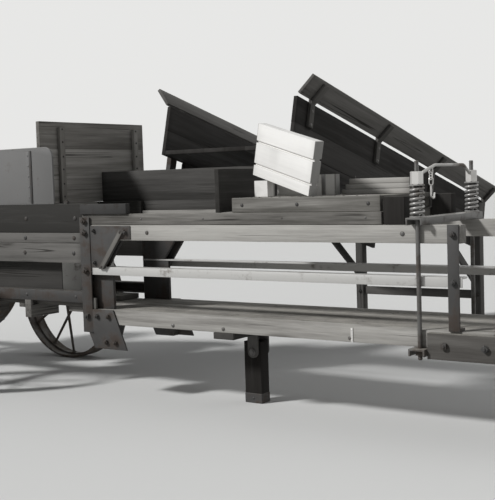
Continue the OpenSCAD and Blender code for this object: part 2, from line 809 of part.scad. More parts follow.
// Spoked wheel round the drive shaft, its rim from y to y + w
module spoked(d, w, rim, y, spokes, spoke_r, hub_r) {
    translate([drive_x, y, drive_z]) rotate([-90, 0, 0]) difference() {
        union() {
            rotate_extrude($fn = 64) translate([d / 2 - rim, 0]) square([rim, w]);
            cylinder(r = hub_r, h = w);
            for (i = [0:spokes - 1]) rotate([0, 0, i * 360 / spokes])
                translate([hub_r - 5, 0, w / 2]) rotate([0, 90, 0])
                    cylinder(r = spoke_r, h = d / 2 - rim - hub_r + 10, $fn = 24);
        }
        translate([0, 0, -1]) cylinder(d = shaft_d, h = w + 2);
    }
}

module flywheel() color("dimgray") spoked(fly_d, fly_w, 55, fly_y, fly_spokes, 22, 60);

module belt_pulley() color("dimgray") spoked(pulley_d, pulley_w, 14, pulley_y, 5, 16, 50);

module feed_trough() color("dimgray") on_feed() {
    for (x = [feed_x0, feed_x1 - board_t]) {
        block([x, x + board_t], [-feed_head, feed_l], [-corner, feed_top]);
        block([x, x + board_t], [60, feed_l], [-corner - skirt_h, -corner]);
    }
    block([feed_x0 + board_t, feed_x1 - board_t], [-feed_head, feed_l], [-corner, -corner + board_t]);
    block([feed_x0 + board_t, feed_x1 - board_t], [feed_l - board_t, feed_l], [-corner, 40]);
    translate([feed_x0 - 48, 0, 0]) rotate([0, 90, 0]) cylinder(d = hinge_d, h = feed_w + 96);
}

// Flare boards that lean outwards over the sides, on battens
module feed_flares() color("dimgray") on_feed() {
    for (side = [0, 1])
        translate([side == 1 ? feed_x1 : feed_x0, 0, 0]) mirror([1 - side, 0, 0]) {
            translate([-4, -feed_head, feed_top + flare_slit]) rotate([0, flare_lean, 0])
                cube([20, feed_l + feed_head, flare_w]);
            for (s = [-20, 745, 1510, feed_l - 75])
                translate([0, s + 45, feed_top]) rotate([90, 0, 0]) linear_extrude(45) {
                    translate([leg_gap, -140]) square([20 - leg_gap, 140 + flare_slit]);
                    translate([-4, flare_slit]) rotate(-flare_lean) translate([19, -12])
                        square([20, flare_w]);
                }
        }
}

// Slatted apron: two chains on the table's floor with wooden slats across
module feed_apron() color("burlywood") on_feed() {
    deck_n = -corner + board_t;
    for (x = [feed_x0 + 160, feed_x1 - 190])
        block([x, x + 30], [24, feed_l - 60], [deck_n, deck_n + 12]);
    for (s = [60:slat_pitch:feed_l - 110])
        block([feed_x0 + board_t + 12, feed_x1 - board_t - 12], [s, s + 45], [deck_n + 12, deck_n + 34]);
}

module feed_legs() color("dimgray") {
    for (x = [feed_x0 - leg_gap - 60, feed_x1 + leg_gap]) {
        block([x, x + 60], [leg_y - 35, leg_y + 35], [0, leg_top]);
        block([x - 30, x + 90], [leg_y - 60, leg_y + 60], [0, 12]);
    }
    block([feed_x0 - 20, feed_x1 + 20], [leg_y - 15, leg_y + 15], [240, 300]);
    for (x = [feed_x0 - leg_gap - 20, feed_x1 + leg_gap])
        translate([x + 20, 0, 0]) rotate([0, -90, 0]) linear_extrude(20)
            polygon([[300, leg_y], [370, leg_y], [brace_z, brace_y + 30], [brace_z, brace_y - 40]]);
}

// Knees on the chamber's far side that carry the hinge shaft
module feed_brackets() color("dimgray") {
    // Columns: side of the knee along X, foot face across the machine
    for (knee = [[feed_x0 - 40, rail_out + 4], [feed_x1 + 10, rail_out]])
        translate([knee[0], 0, 0]) difference() {
            translate([30, 0, 0]) rotate([0, -90, 0]) linear_extrude(30) {
                polygon([[top_z + 4, knee[1]], [band_z, rail_out + 50], [hinge_z, hinge_y + 28],
                         [hinge_z, hinge_y - 28], [band_z + 10, knee[1]]]);
                translate([hinge_z, hinge_y]) circle(r = 28);
            }
            translate([-1, hinge_y, hinge_z]) rotate([0, 90, 0]) cylinder(r = hinge_d / 2 + play, h = 32);
        }
}

translate([-mid_x, -mid_y, 0]) {
    chamber_floor();
    sills();
    mid_rails();
    top_rails();
    rail_bands();
    corner_posts();
    side_panels();
    foot_brackets();
    main_beams();
    housing_sides();
    housing_slides();
    guard_panels();
    end_board();
    hopper_boards();
    hopper_lip();
    deck();
    deck_stops();
    divider_block();
    crossbars();
    tension_rods();
    tension_springs();
    tension_nuts();
    tie_bar();
    bale_table();
    stub_axles();
    wheel_near();
    wheel_far();
    drawbar();
    stand_bracket();
    front_stand();
    leg_bracket();
    prop_leg();
    gear_case();
    crank_bearing();
    crank();
    pitman();
    plunger();
    drive_stands();
    drive_shaft();
    flywheel();
    belt_pulley();
    feed_trough();
    feed_flares();
    feed_apron();
    feed_legs();
    feed_brackets();
}
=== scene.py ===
# %% [markdown]
# # A belt-driven hay press, dressed for its portrait
# The machine is a square baler of the 1930s and 40s: an open chamber of long timber rails, a crank-driven
# plunger in a boxed housing, and a feed table that lies across it. The frame below is its construction,
# already at real size. This lesson gives each piece its surface and the forms that a construction leaves out.

# %% Load the frame
import json
import math
import random

import bmesh
import bpy
from mathutils import Matrix, Vector, noise


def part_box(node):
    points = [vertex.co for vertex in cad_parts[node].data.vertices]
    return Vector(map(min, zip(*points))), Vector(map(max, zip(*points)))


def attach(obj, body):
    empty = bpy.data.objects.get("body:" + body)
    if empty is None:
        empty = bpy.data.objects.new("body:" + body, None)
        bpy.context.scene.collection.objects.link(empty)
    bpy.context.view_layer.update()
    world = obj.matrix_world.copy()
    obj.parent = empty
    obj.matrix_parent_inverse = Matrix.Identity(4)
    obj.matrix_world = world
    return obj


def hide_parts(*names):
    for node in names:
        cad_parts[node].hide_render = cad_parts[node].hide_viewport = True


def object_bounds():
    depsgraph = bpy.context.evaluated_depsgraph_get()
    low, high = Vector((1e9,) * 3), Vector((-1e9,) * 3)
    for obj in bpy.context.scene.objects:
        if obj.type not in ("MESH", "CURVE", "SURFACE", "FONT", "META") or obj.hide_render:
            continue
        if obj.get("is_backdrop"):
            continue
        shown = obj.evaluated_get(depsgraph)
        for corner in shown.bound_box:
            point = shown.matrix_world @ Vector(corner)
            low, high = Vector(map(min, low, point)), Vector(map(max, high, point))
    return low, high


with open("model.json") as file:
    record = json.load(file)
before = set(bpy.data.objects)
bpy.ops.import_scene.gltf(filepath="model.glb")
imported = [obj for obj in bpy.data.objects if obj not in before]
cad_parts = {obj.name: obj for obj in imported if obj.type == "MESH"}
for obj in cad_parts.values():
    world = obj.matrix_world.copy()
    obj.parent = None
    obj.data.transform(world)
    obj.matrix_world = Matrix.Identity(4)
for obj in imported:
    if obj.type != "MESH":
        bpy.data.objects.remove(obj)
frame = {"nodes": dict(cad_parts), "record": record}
cad_low, cad_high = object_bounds()

# %% [markdown]
# A long machine is easiest to talk about in stations. The tension rods stand across the chamber near its
# discharge end, so stations count from them along X, and places across count from the chamber's centre line.
# Both are read from the frame, so that nothing here has to know where the frame's own origin lies.

# %% Stations and spans
rod_low, rod_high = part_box("tension_rods")
HOME = Vector(((rod_low[0] + rod_high[0]) / 2, (rod_low[1] + rod_high[1]) / 2, 0))


def span(node):
    """The node's lowest and highest corner, counted from the rods' station and the centre line."""
    low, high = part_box(node)
    return Vector(low) - HOME, Vector(high) - HOME


print("rods at", round(HOME.x, 4), "centre line at", round(HOME.y, 4))

# %% [markdown]
# The photograph was taken from the discharge end, a little higher than the deck and under five metres away.
# The rods, rails and posts fix the camera: its place, its turn, and a focal length in pixels of the 495 by
# 500 picture. Writing them as real values lets the script build the camera's axes instead of copying a
# matrix.

# %% Camera
IMAGE_LONG_SIDE = 500
FOCAL_PIXELS = 1031.6
SENSOR = 36.0
EYE = HOME + Vector((1.9243, -4.2732, 1.1292))
YAW, PITCH, ROLL = 0.6143, 0.0673, 0.0316

forward = Vector((-math.sin(YAW) * math.cos(PITCH), math.cos(YAW) * math.cos(PITCH), -math.sin(PITCH)))
level_right = Vector((math.cos(YAW), math.sin(YAW), 0))
level_down = forward.cross(level_right)
right = level_right * math.cos(ROLL) + level_down * math.sin(ROLL)
up = level_right * math.sin(ROLL) - level_down * math.cos(ROLL)

camera = bpy.data.objects.new("camera", bpy.data.cameras.new("camera"))
bpy.context.collection.objects.link(camera)
camera.data.sensor_width = SENSOR
camera.data.lens = SENSOR * FOCAL_PIXELS / IMAGE_LONG_SIDE
camera.data.clip_end = 200
camera.matrix_world = Matrix.Translation(EYE) @ Matrix((right, up, -forward)).transposed().to_4x4()
bpy.context.scene.camera = camera
print("lens", round(camera.data.lens, 1), "mm")

# %% [markdown]
# The picture's sun comes from the left, a little from the viewer's side, so faces that look towards the
# discharge end are in shade. One soft lamp gives that direction, a paler one opens the shade, and the world
# fills the rest evenly. The floor is one wide pale sheet whose far edge fades into the same pale sky.

# %% Light and floor
SKY_SEEN = (0.80, 0.80, 0.79, 1)
SKY_LIGHT = (0.86, 0.88, 0.90, 1)
SKY_STRENGTH = 0.26
FLOOR_GREY = (0.56, 0.56, 0.55, 1)
FLOOR_SIDE = 120.0


def node(tree, kind, **settings):
    """A new shader node with its settings and socket values."""
    made = tree.nodes.new(kind)
    for key, value in settings.items():
        if key.startswith("in_"):
            made.inputs[key[3:].replace("_", " ")].default_value = value
        else:
            setattr(made, key, value)
    return made


def wire(tree, source, target):
    """Joins an output socket, or the socket of a Value, to an input socket."""
    tree.links.new(getattr(source, "socket", source), target)


def lamp(name, place, strength, angle):
    """A sun lamp that shines from a place towards the origin."""
    data = bpy.data.lights.new(name, "SUN")
    data.energy = strength
    data.angle = math.radians(angle)
    made = bpy.data.objects.new(name, data)
    bpy.context.collection.objects.link(made)
    made.rotation_mode = "QUATERNION"
    made.rotation_quaternion = (-Vector(place)).to_track_quat("-Z", "Y")


lamp("key", (-3.3, -4.5, 4.2), 3.6, 7)
lamp("fill", (5, 3.5, 3.5), 0.8, 60)

world = bpy.data.worlds.new("pale_sky")
bpy.context.scene.world = world
world.use_nodes = True
tree = world.node_tree
tree.nodes.clear()
path = node(tree, "ShaderNodeLightPath")
seen = path.outputs["Is Camera Ray"]
for ray in ("Is Glossy Ray", "Is Transmission Ray"):
    either = node(tree, "ShaderNodeMath", operation="MAXIMUM")
    wire(tree, seen, either.inputs[0])
    wire(tree, path.outputs[ray], either.inputs[1])
    seen = either.outputs[0]
both = node(tree, "ShaderNodeMixShader")
wire(tree, seen, both.inputs[0])
for i, colour, strength in ((1, SKY_LIGHT, SKY_STRENGTH), (2, SKY_SEEN, 1.0)):
    sky = node(tree, "ShaderNodeBackground", in_Color=colour, in_Strength=strength)
    wire(tree, sky.outputs[0], both.inputs[i])
wire(tree, both.outputs[0], node(tree, "ShaderNodeOutputWorld").inputs[0])

bpy.ops.mesh.primitive_plane_add(size=FLOOR_SIDE)
floor = bpy.context.object
floor.name = "floor"
paper = bpy.data.materials.new("pale_floor")
paper.use_nodes = True
paper.node_tree.nodes["Principled BSDF"].inputs["Base Color"].default_value = FLOOR_GREY
paper.node_tree.nodes["Principled BSDF"].inputs["Roughness"].default_value = 0.9
floor.data.materials.append(paper)
floor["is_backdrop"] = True
bpy.context.scene.view_settings.view_transform = "Standard"
print("lamps:", len(bpy.data.lights), "floor:", FLOOR_SIDE, "m")

# %% [markdown]
# Every material on this machine mixes the same few effects, so each effect is a node group with named
# sockets. Much of a group is plain sums, and each sum is a Math node. A small class lets a socket be added
# and multiplied like a number, so that the recipes below read as sums and still become nodes.

# %% Helpers for node groups
class Value:
    """A shader value that adds, subtracts and multiplies like a number."""

    def __init__(self, tree, socket):
        self.tree, self.socket = tree, socket

    def maths(self, operation, a, b=0.0):
        """One Math node on two terms, each a Value or a number."""
        made = node(self.tree, "ShaderNodeMath", operation=operation)
        for term, target in zip((a, b), made.inputs):
            if isinstance(term, Value):
                wire(self.tree, term, target)
            else:
                target.default_value = term
        return Value(self.tree, made.outputs[0])

    def __add__(self, other):
        return self.maths("ADD", self, other)

    def __sub__(self, other):
        return self.maths("SUBTRACT", self, other)

    def __rsub__(self, other):
        return self.maths("SUBTRACT", other, self)

    def __mul__(self, other):
        return self.maths("MULTIPLY", self, other)

    def __abs__(self):
        return self.maths("ABSOLUTE", self)

    def larger(self, other):
        """The larger of two values."""
        return self.maths("MAXIMUM", self, other)

    def between(self, low, high):
        """The value brought from low..high to 0..1 with a soft foot and shoulder."""
        made = node(self.tree, "ShaderNodeMapRange", interpolation_type="SMOOTHSTEP", in_From_Min=low,
                    in_From_Max=high)
        wire(self.tree, self, made.inputs["Value"])
        return Value(self.tree, made.outputs["Result"])


def new_group(name, inputs, outputs):
    """An empty shader group: its tree, its input sockets and its output sockets by name."""
    tree = bpy.data.node_groups.new(name, "ShaderNodeTree")
    for label, kind, default in inputs:
        socket = tree.interface.new_socket(label, in_out="INPUT", socket_type="NodeSocket" + kind)
        if default is not None:
            socket.default_value = default
    for label, kind in outputs:
        tree.interface.new_socket(label, in_out="OUTPUT", socket_type="NodeSocket" + kind)
    return tree, tree.nodes.new("NodeGroupInput").outputs, tree.nodes.new("NodeGroupOutput").inputs


def mapped(tree, kind, vector, scale, seed=(0, 0, 0), **settings):
    """A texture on a vector that is first scaled differently along each axis."""
    mapping = node(tree, "ShaderNodeMapping", in_Scale=scale, in_Location=seed)
    wire(tree, vector, mapping.inputs["Vector"])
    texture = node(tree, kind, in_Scale=1.0, **settings)
    wire(tree, mapping.outputs[0], texture.inputs["Vector"])
    return texture.outputs


def speckle(tree, vector, scale, detail=5.0, rough=0.6, seed=(0, 0, 0)):
    """Stretched noise as a Value."""
    outputs = mapped(tree, "ShaderNodeTexNoise", vector, scale, seed, in_Detail=detail, in_Roughness=rough)
    return Value(tree, outputs["Fac"])


def blend(tree, amount, a, b):
    """Mixes two colours, each a socket or a colour, by a Value."""
    made = node(tree, "ShaderNodeMix", data_type="RGBA", blend_type="MIX")
    wire(tree, amount, made.inputs[0])
    for key, colour in ((6, a), (7, b)):
        if isinstance(colour, tuple):
            made.inputs[key].default_value = colour
        else:
            wire(tree, colour, made.inputs[key])
    return made.outputs[2]


sample, take, _ = new_group("sample", [("Value", "Float", 1.0)], [])
(Value(sample, take["Value"]) * 2.0 + 1.0).between(0, 3)
print("a product, a sum and a range are", len(sample.nodes) - 2, "nodes")
bpy.data.node_groups.remove(sample)

# %% [markdown]
# Old sawn timber is grey on the outside: streaks run along each board, fine fibres stand up between them, a
# few drying cracks open along the grain, and knots stay darker. The pattern must follow each board, not the
# machine, so every board carries its own grain coordinates: the first runs along it, the other two across. A
# tone for each board keeps neighbours from looking like one sheet. The sawn ends are darker than the faces.
# This is partly the dirt that end grain takes up and partly painted shade, set strongest on the white divider
# block, whose end is in shade.

# %% Timber grain group
BLACKENED = (0.02, 0.018, 0.016, 1)

timber_grain, take, give = new_group(
    "timber_grain",
    [("Grain", "Vector", None), ("Tone", "Float", 0.5), ("Ends", "Float", 1.0),
     ("Pale", "Color", (0.5, 0.48, 0.45, 1)), ("Dark", "Color", (0.2, 0.19, 0.18, 1)),
     ("Cracks", "Float", 1.0), ("EndGrain", "Float", 0.3)],
    [("Color", "Color"), ("Roughness", "Float"), ("Height", "Float")],
)
tree, grain = timber_grain, take["Grain"]
tone, ends, cracks, dirt_and_shade_on_ends = (Value(tree, take[label]) for label in ("Tone", "Ends", "Cracks", "EndGrain"))
streaks = speckle(tree, grain, (1.6, 34, 34), detail=4)
fibres = speckle(tree, grain, (7, 210, 210), detail=3, rough=0.7)
blotches = speckle(tree, grain, (1.1, 5, 5), detail=3, seed=(3, 1, 7))
splits = speckle(tree, grain, (0.3, 24, 24), detail=2, rough=0.45, seed=(9, 4, 2))
where_split = speckle(tree, grain, (2.2, 7, 7), detail=1, seed=(5, 5, 1))
knots = mapped(tree, "ShaderNodeTexVoronoi", grain, (1.3, 7.5, 7.5), in_Randomness=1.0)
knot = 1.0 - Value(tree, knots["Distance"]).between(0.05, 0.16)

crack = (1.0 - abs(splits - 0.5).between(0.002, 0.011)) * where_split.between(0.52, 0.62) * cracks
shade = streaks * 0.75 + fibres * 0.35 + blotches * 0.45 + tone * 0.5
worn_end = 1.0 - ends.between(0.0, 0.05)
amount = shade.between(0.62, 1.38) * (1.0 - knot * 0.7) * (1.0 - worn_end * 0.35)
# Partly painted shade: sawn end faces are blended towards black, both for end-grain dirt and, strongest on
# the white block, for the shade on its end.
end_dirt_and_shade = (1.0 - ends.between(0.0016, 0.004)) * dirt_and_shade_on_ends
bare = blend(tree, amount, take["Dark"], take["Pale"])
wire(tree, blend(tree, (crack * 0.85).larger(end_dirt_and_shade), bare, BLACKENED), give["Color"])
wire(tree, 0.92 - streaks * 0.2, give["Roughness"])
wire(tree, streaks * 0.6 + fibres * 0.4 - crack * 1.4, give["Height"])
print(timber_grain.name, "has", len(tree.nodes), "nodes")

# %% [markdown]
# Chaff and dust settle on whatever faces the sky. A group lightens upward faces by a broken noise, so the
# same dust lies on timber, iron and sheet. Rust is a second group: it eats through paint in patches, is
# rougher than the paint and stands a little proud of it.

# %% Dust and rust groups
dust_on_top, take, give = new_group(
    "dust_on_top",
    [("Color", "Color", (0.5, 0.5, 0.5, 1)), ("Dust", "Color", (0.62, 0.59, 0.52, 1)),
     ("Amount", "Float", 0.5)],
    [("Color", "Color")],
)
tree = dust_on_top
slope = node(tree, "ShaderNodeSeparateXYZ")
wire(tree, node(tree, "ShaderNodeNewGeometry").outputs["Normal"], slope.inputs[0])
place = node(tree, "ShaderNodeTexCoord").outputs["Object"]
clumps = speckle(tree, place, (9, 9, 9), detail=6, rough=0.65)
grit = speckle(tree, place, (120, 120, 120), detail=2, rough=0.6)
lying = Value(tree, slope.outputs["Z"]).between(0.45, 0.95)
mask = (clumps + grit * 0.3).between(0.35, 1.05) * lying * Value(tree, take["Amount"])
wire(tree, blend(tree, mask, take["Color"], take["Dust"]), give["Color"])

rust_patches, take, give = new_group(
    "rust_patches",
    [("Paint", "Color", (0.1, 0.1, 0.1, 1)), ("Rust", "Color", (0.12, 0.09, 0.07, 1)),
     ("Amount", "Float", 0.5), ("Gloss", "Float", 0.5)],
    [("Color", "Color"), ("Roughness", "Float"), ("Mask", "Float"), ("Height", "Float")],
)
tree = rust_patches
place = node(tree, "ShaderNodeTexCoord").outputs["Object"]
patches = speckle(tree, place, (6, 6, 9), detail=8, rough=0.7, seed=(2, 3, 4))
pits = speckle(tree, place, (160, 160, 160), detail=4, rough=0.7)
runs = speckle(tree, place, (26, 26, 3), detail=4, rough=0.6, seed=(7, 7, 0))
eaten = (patches + runs * 0.35 + Value(tree, take["Amount"]) * 0.45).between(0.78, 0.98)
rust_tone = blend(tree, pits * 0.6, take["Rust"], (0.045, 0.035, 0.03, 1))
paint_tone = blend(tree, patches * 0.12, take["Paint"], (0.3, 0.29, 0.28, 1))
wire(tree, blend(tree, eaten, paint_tone, rust_tone), give["Color"])
wire(tree, Value(tree, take["Gloss"]) + eaten * 0.35, give["Roughness"])
wire(tree, eaten, give["Mask"])
wire(tree, pits * (eaten + 0.25), give["Height"])
print("groups:", [group.name for group in bpy.data.node_groups])

# %% [markdown]
# With the effects in groups, a material is short: place the group, set this finish's own colours, and lay
# dust over it. The photograph has no colour, so each grey here keeps only the faint warmth of old wood and
# iron. Their lightness follows the picture: pale rails, dark grey housing, nearly black feed table.

# %% Materials
def finish(name, roughness, metallic, shine):
    """A material with one Principled shader, and its tree."""
    made = bpy.data.materials.new(name)
    made.use_nodes = True
    shader = made.node_tree.nodes["Principled BSDF"]
    shader.inputs["Roughness"].default_value = roughness
    shader.inputs["Metallic"].default_value = metallic
    shader.inputs["Specular IOR Level"].default_value = shine
    return made, made.node_tree, shader.inputs


def use_group(tree, group, **values):
    """Places a group in a material and sets its inputs."""
    placed = node(tree, "ShaderNodeGroup")
    placed.node_tree = group
    for key, value in values.items():
        placed.inputs[key].default_value = value
    return placed


def dusted(tree, shader, coat, dust, relief):
    """Lays dust over a coat, and feeds its colour, roughness and height to the shader."""
    top = use_group(tree, dust_on_top, Amount=dust)
    wire(tree, coat.outputs["Color"], top.inputs["Color"])
    wire(tree, top.outputs["Color"], shader["Base Color"])
    wire(tree, coat.outputs["Roughness"], shader["Roughness"])
    bump = node(tree, "ShaderNodeBump", in_Distance=relief, in_Strength=1.0)
    wire(tree, coat.outputs["Height"], bump.inputs["Height"])
    wire(tree, bump.outputs[0], shader["Normal"])


def timber(name, pale, dark, cracks=1.0, dust=0.35, end_dirt_and_shade=0.3):
    """Old sawn timber that reads each board's grain, tone and ends."""
    made, tree, shader = finish(name, 0.85, 0.0, 0.12)
    wood = use_group(tree, timber_grain, Pale=(*pale, 1), Dark=(*dark, 1), Cracks=cracks, EndGrain=end_dirt_and_shade)
    for label, output in (("grain", "Vector"), ("tone", "Fac"), ("ends", "Fac")):
        source = node(tree, "ShaderNodeAttribute", attribute_name=label)
        wire(tree, source.outputs[output], wood.inputs[label.capitalize()])
    dusted(tree, shader, wood, dust, 0.0012)
    return made


def rusty(name, paint, rust, amount, gloss=0.5, metallic=0.0, dust=0.35, relief=0.0006):
    """Painted or bare metal with rust eating into it."""
    made, tree, shader = finish(name, gloss, metallic, 0.25)
    coat = use_group(tree, rust_patches, Paint=(*paint, 1), Rust=(*rust, 1), Amount=amount, Gloss=gloss)
    dusted(tree, shader, coat, dust, relief)
    if metallic > 0:
        wire(tree, (1.0 - Value(tree, coat.outputs["Mask"])) * metallic, shader["Metallic"])
    return made


TIMBER_PALE = timber("timber_pale", (0.37, 0.36, 0.338), (0.115, 0.109, 0.10), dust=0.2)
# The white timber's ends are blackened twice as strongly as the others' ends. This is painted shade on the
# divider block's end.
TIMBER_WHITE = timber("timber_white", (0.68, 0.67, 0.65), (0.53, 0.52, 0.50), cracks=0, dust=0.05,
                      end_dirt_and_shade=0.6)
TIMBER_BAND = timber("timber_band", (0.26, 0.251, 0.235), (0.07, 0.066, 0.06), dust=0.3)
TIMBER_DECK = timber("timber_deck", (0.34, 0.329, 0.309), (0.085, 0.081, 0.073))
TIMBER_GREY = timber("timber_grey", (0.25, 0.241, 0.225), (0.065, 0.061, 0.056))
TIMBER_BROWN = timber("timber_brown", (0.36, 0.347, 0.325), (0.14, 0.133, 0.121), dust=0.2)
TIMBER_FLARE = timber("timber_flare", (0.17, 0.164, 0.155), (0.075, 0.072, 0.067), dust=0.1)
TIMBER_SIDE = timber("timber_side", (0.13, 0.125, 0.118), (0.030, 0.029, 0.027), dust=0.16)
TIMBER_DARK = timber("timber_dark", (0.085, 0.082, 0.078), (0.026, 0.025, 0.023), dust=0.16)
TIMBER_BLACK = timber("timber_black", (0.042, 0.04, 0.038), (0.012, 0.011, 0.010), dust=0.1)
STEEL_WORN = rusty("steel_worn", (0.36, 0.355, 0.34), (0.12, 0.102, 0.085), 0.25, gloss=0.38, metallic=0.3)
STEEL_BRIGHT = rusty("steel_bright", (0.60, 0.59, 0.57), (0.16, 0.135, 0.11), 0.12, gloss=0.32,
                     metallic=0.4)
STEEL_DARK = rusty("steel_dark", (0.028, 0.0275, 0.027), (0.045, 0.036, 0.030), 0.35, dust=0.14)
# Near-black iron with little shine is painted shade: the dark gap under the hay along the hopper lip.
STEEL_SHADE_BLACK = rusty("steel_painted_shade", (0.012, 0.0118, 0.0115), (0.022, 0.018, 0.016), 0.2, gloss=0.75,
                     dust=0.05)
STEEL_RAIL = rusty("steel_rail", (0.44, 0.435, 0.42), (0.16, 0.14, 0.12), 0.14, gloss=0.4, metallic=0.15,
                   dust=0.1)
STEEL_COIL = rusty("steel_coil", (0.26, 0.256, 0.248), (0.10, 0.085, 0.07), 0.2, gloss=0.3, metallic=0.4,
                   dust=0.1)
STEEL_ROD = rusty("steel_rod", (0.10, 0.098, 0.094), (0.06, 0.05, 0.042), 0.3, gloss=0.4, metallic=0.3)
IRON_DARK = rusty("iron_dark", (0.07, 0.0685, 0.067), (0.085, 0.068, 0.056), 0.4, gloss=0.55, dust=0.2,
                  relief=0.0012)
IRON_WHEEL = rusty("iron_wheel", (0.10, 0.0975, 0.094), (0.10, 0.083, 0.069), 0.5, gloss=0.55, dust=0.3)
SHEET_GREY = rusty("sheet_grey", (0.115, 0.114, 0.112), (0.08, 0.069, 0.058), 0.06, dust=0.15)
print("materials:", len(bpy.data.materials))

# %% [markdown]
# A machine like this is mostly boards, so one maker's function is worth having: it saws a board between two
# corners, eases its edges, roughens them a little as years of weather do, and writes down the grain. A cube
# that is cut across at short steps gives the bevel and the wear something to bend. The three values that the
# timber material reads go onto the vertices: grain along and across, a tone, and how far the ends are.

# %% A sawn board
DICE = random.Random(11)
AXES = (Vector((1, 0, 0)), Vector((0, 1, 0)), Vector((0, 0, 1)))
END_CUT = 0.02
SHORTEST_CUT = 0.15


def empty_work():
    """A bmesh whose vertices carry grain, tone and ends."""
    work = bmesh.new()
    work.verts.layers.float_vector.new("grain")
    work.verts.layers.float.new("tone")
    work.verts.layers.float.new("ends")
    return work


def everything(work):
    """All vertices, edges and faces, as the operators want them."""
    return work.verts[:] + work.edges[:] + work.faces[:]


def write_grain(work, verts, along, tone=None, turn=None):
    """Gives some vertices the grain of one board that runs along an axis, or along that axis turned."""
    layers = work.verts.layers
    grain, shades, ends = layers.float_vector["grain"], layers.float["tone"], layers.float["ends"]
    order = (along, (along + 1) % 3, (along + 2) % 3)
    start = Vector((DICE.uniform(0, 40), DICE.uniform(0, 4), DICE.uniform(0, 4)))
    shade = DICE.random() if tone is None else tone
    back = Matrix.Identity(3) if turn is None else turn.inverted()
    places = [back @ v.co for v in verts]
    low = min(place[along] for place in places)
    high = max(place[along] for place in places)
    for v, place in zip(verts, places):
        v[grain] = start + Vector([place[i] for i in order])
        v[shades] = shade
        v[ends] = min(place[along] - low, high - place[along])


def put(into, part, at=None):
    """Adds a finished small bmesh to a larger one, turned and moved by a matrix."""
    if at is not None:
        bmesh.ops.transform(part, matrix=at, verts=part.verts)
    scrap = bpy.data.meshes.new("scrap")
    part.to_mesh(scrap)
    part.free()
    into.from_mesh(scrap)
    bpy.data.meshes.remove(scrap)


def box_work(x, y, z):
    """A bmesh box between two places on each axis."""
    work = empty_work()
    bmesh.ops.create_cube(work, size=1)
    bmesh.ops.scale(work, vec=(x[1] - x[0], y[1] - y[0], z[1] - z[0]), verts=work.verts)
    bmesh.ops.translate(work, vec=Vector((x[0] + x[1], y[0] + y[1], z[0] + z[1])) / 2, verts=work.verts)
    return work


def cut_along(work, along, low, high, step):
    """Cuts a board across at short steps, and close to both ends."""
    count = max(1, int((high - low) / step))
    for place in [low + END_CUT, high - END_CUT] + [low + (high - low) * i / count for i in range(1, count)]:
        bmesh.ops.bisect_plane(work, geom=everything(work), plane_co=AXES[along] * place,
                               plane_no=AXES[along])


def ease(work, width, segments=2, sharper_than=0.5):
    """Rounds every edge that is sharper than an angle."""
    sharp = [e for e in work.edges if e.is_manifold and e.calc_face_angle() > sharper_than]
    bmesh.ops.bevel(work, geom=sharp, offset=width, offset_type="OFFSET", segments=segments, profile=0.5,
                    affect="EDGES", material=-1, clamp_overlap=True)


def wear(work, depth):
    """Sinks vertices a little, by a noise, so that edges are never ruler-straight."""
    work.normal_update()
    shift = Vector((DICE.uniform(0, 50), 0, 0))
    for v in work.verts:
        v.co -= v.normal * depth * (0.5 + 0.5 * noise.noise((v.co + shift) * 9))


def board(into, x, y, z, along=None, edge=0.003, at=None, step=0.11, tone=None):
    """Saws a board between two places on each axis, the grain along its longest side."""
    places = (x, y, z)
    work = box_work(*places)
    if along is None:
        size = Vector([high - low for low, high in places])
        along = max(range(3), key=lambda i: size[i])
    low, high = places[along]
    if high - low > SHORTEST_CUT:
        cut_along(work, along, low, high, step)
    ease(work, edge)
    wear(work, edge * 0.5)
    write_grain(work, work.verts, along, tone)
    put(into, work, at)


sample = box_work((0, 1), (0, 0.1), (0, 0.02))
cut_along(sample, 0, 0, 1, 0.11)
ease(sample, 0.003)
print("a board of one metre has", len(sample.faces), "faces")
sample.free()

# %% [markdown]
# A finished piece must say three things: which body of the machine it moves with, which pieces of the
# construction it stands for, and which finish it wears. The record lists the bodies already, so two small
# functions look the body up: one for pieces that replace a node, one for details that are added.

# %% Finished pieces
BODY_OF = {n: body for body, nodes in frame["record"]["behaviour"]["bodies"].items() for n in nodes}


def finished(name, work, material, like, corner=34):
    """Makes an object from a bmesh that counts from the rods, and lets it ride where a node rides."""
    bmesh.ops.translate(work, vec=HOME, verts=work.verts)
    for face in work.faces:
        face.smooth = True
    for edge in work.edges:
        edge.smooth = edge.is_manifold and edge.calc_face_angle() < math.radians(corner)
    mesh = bpy.data.meshes.new(name)
    work.to_mesh(mesh)
    work.free()
    mesh.materials.append(material)
    made = bpy.data.objects.new(name, mesh)
    bpy.context.collection.objects.link(made)
    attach(made, BODY_OF[like])
    return made


def stand_for(node_name, ending, work, material, corner=34):
    """A piece that replaces one node of the frame."""
    made = finished(node_name + "_" + ending, work, material, node_name, corner)
    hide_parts(node_name)


# %% [markdown]
# Small iron holds the machine together: turned heads, nuts with cut corners, washers and bent bars. A profile
# spun round an axis gives everything that is turned. A nut is a six- or four-sided prism whose corners are
# cut back by slanted planes, as its maker turned them off.

# %% Turned and cut iron
def facing(place, way, spin=0.0):
    """A matrix that stands a part on a face that looks a certain way."""
    turn = Vector(way).to_track_quat("Z", "Y").to_matrix().to_4x4()
    return Matrix.Translation(place) @ turn @ Matrix.Rotation(spin, 4, "Z")


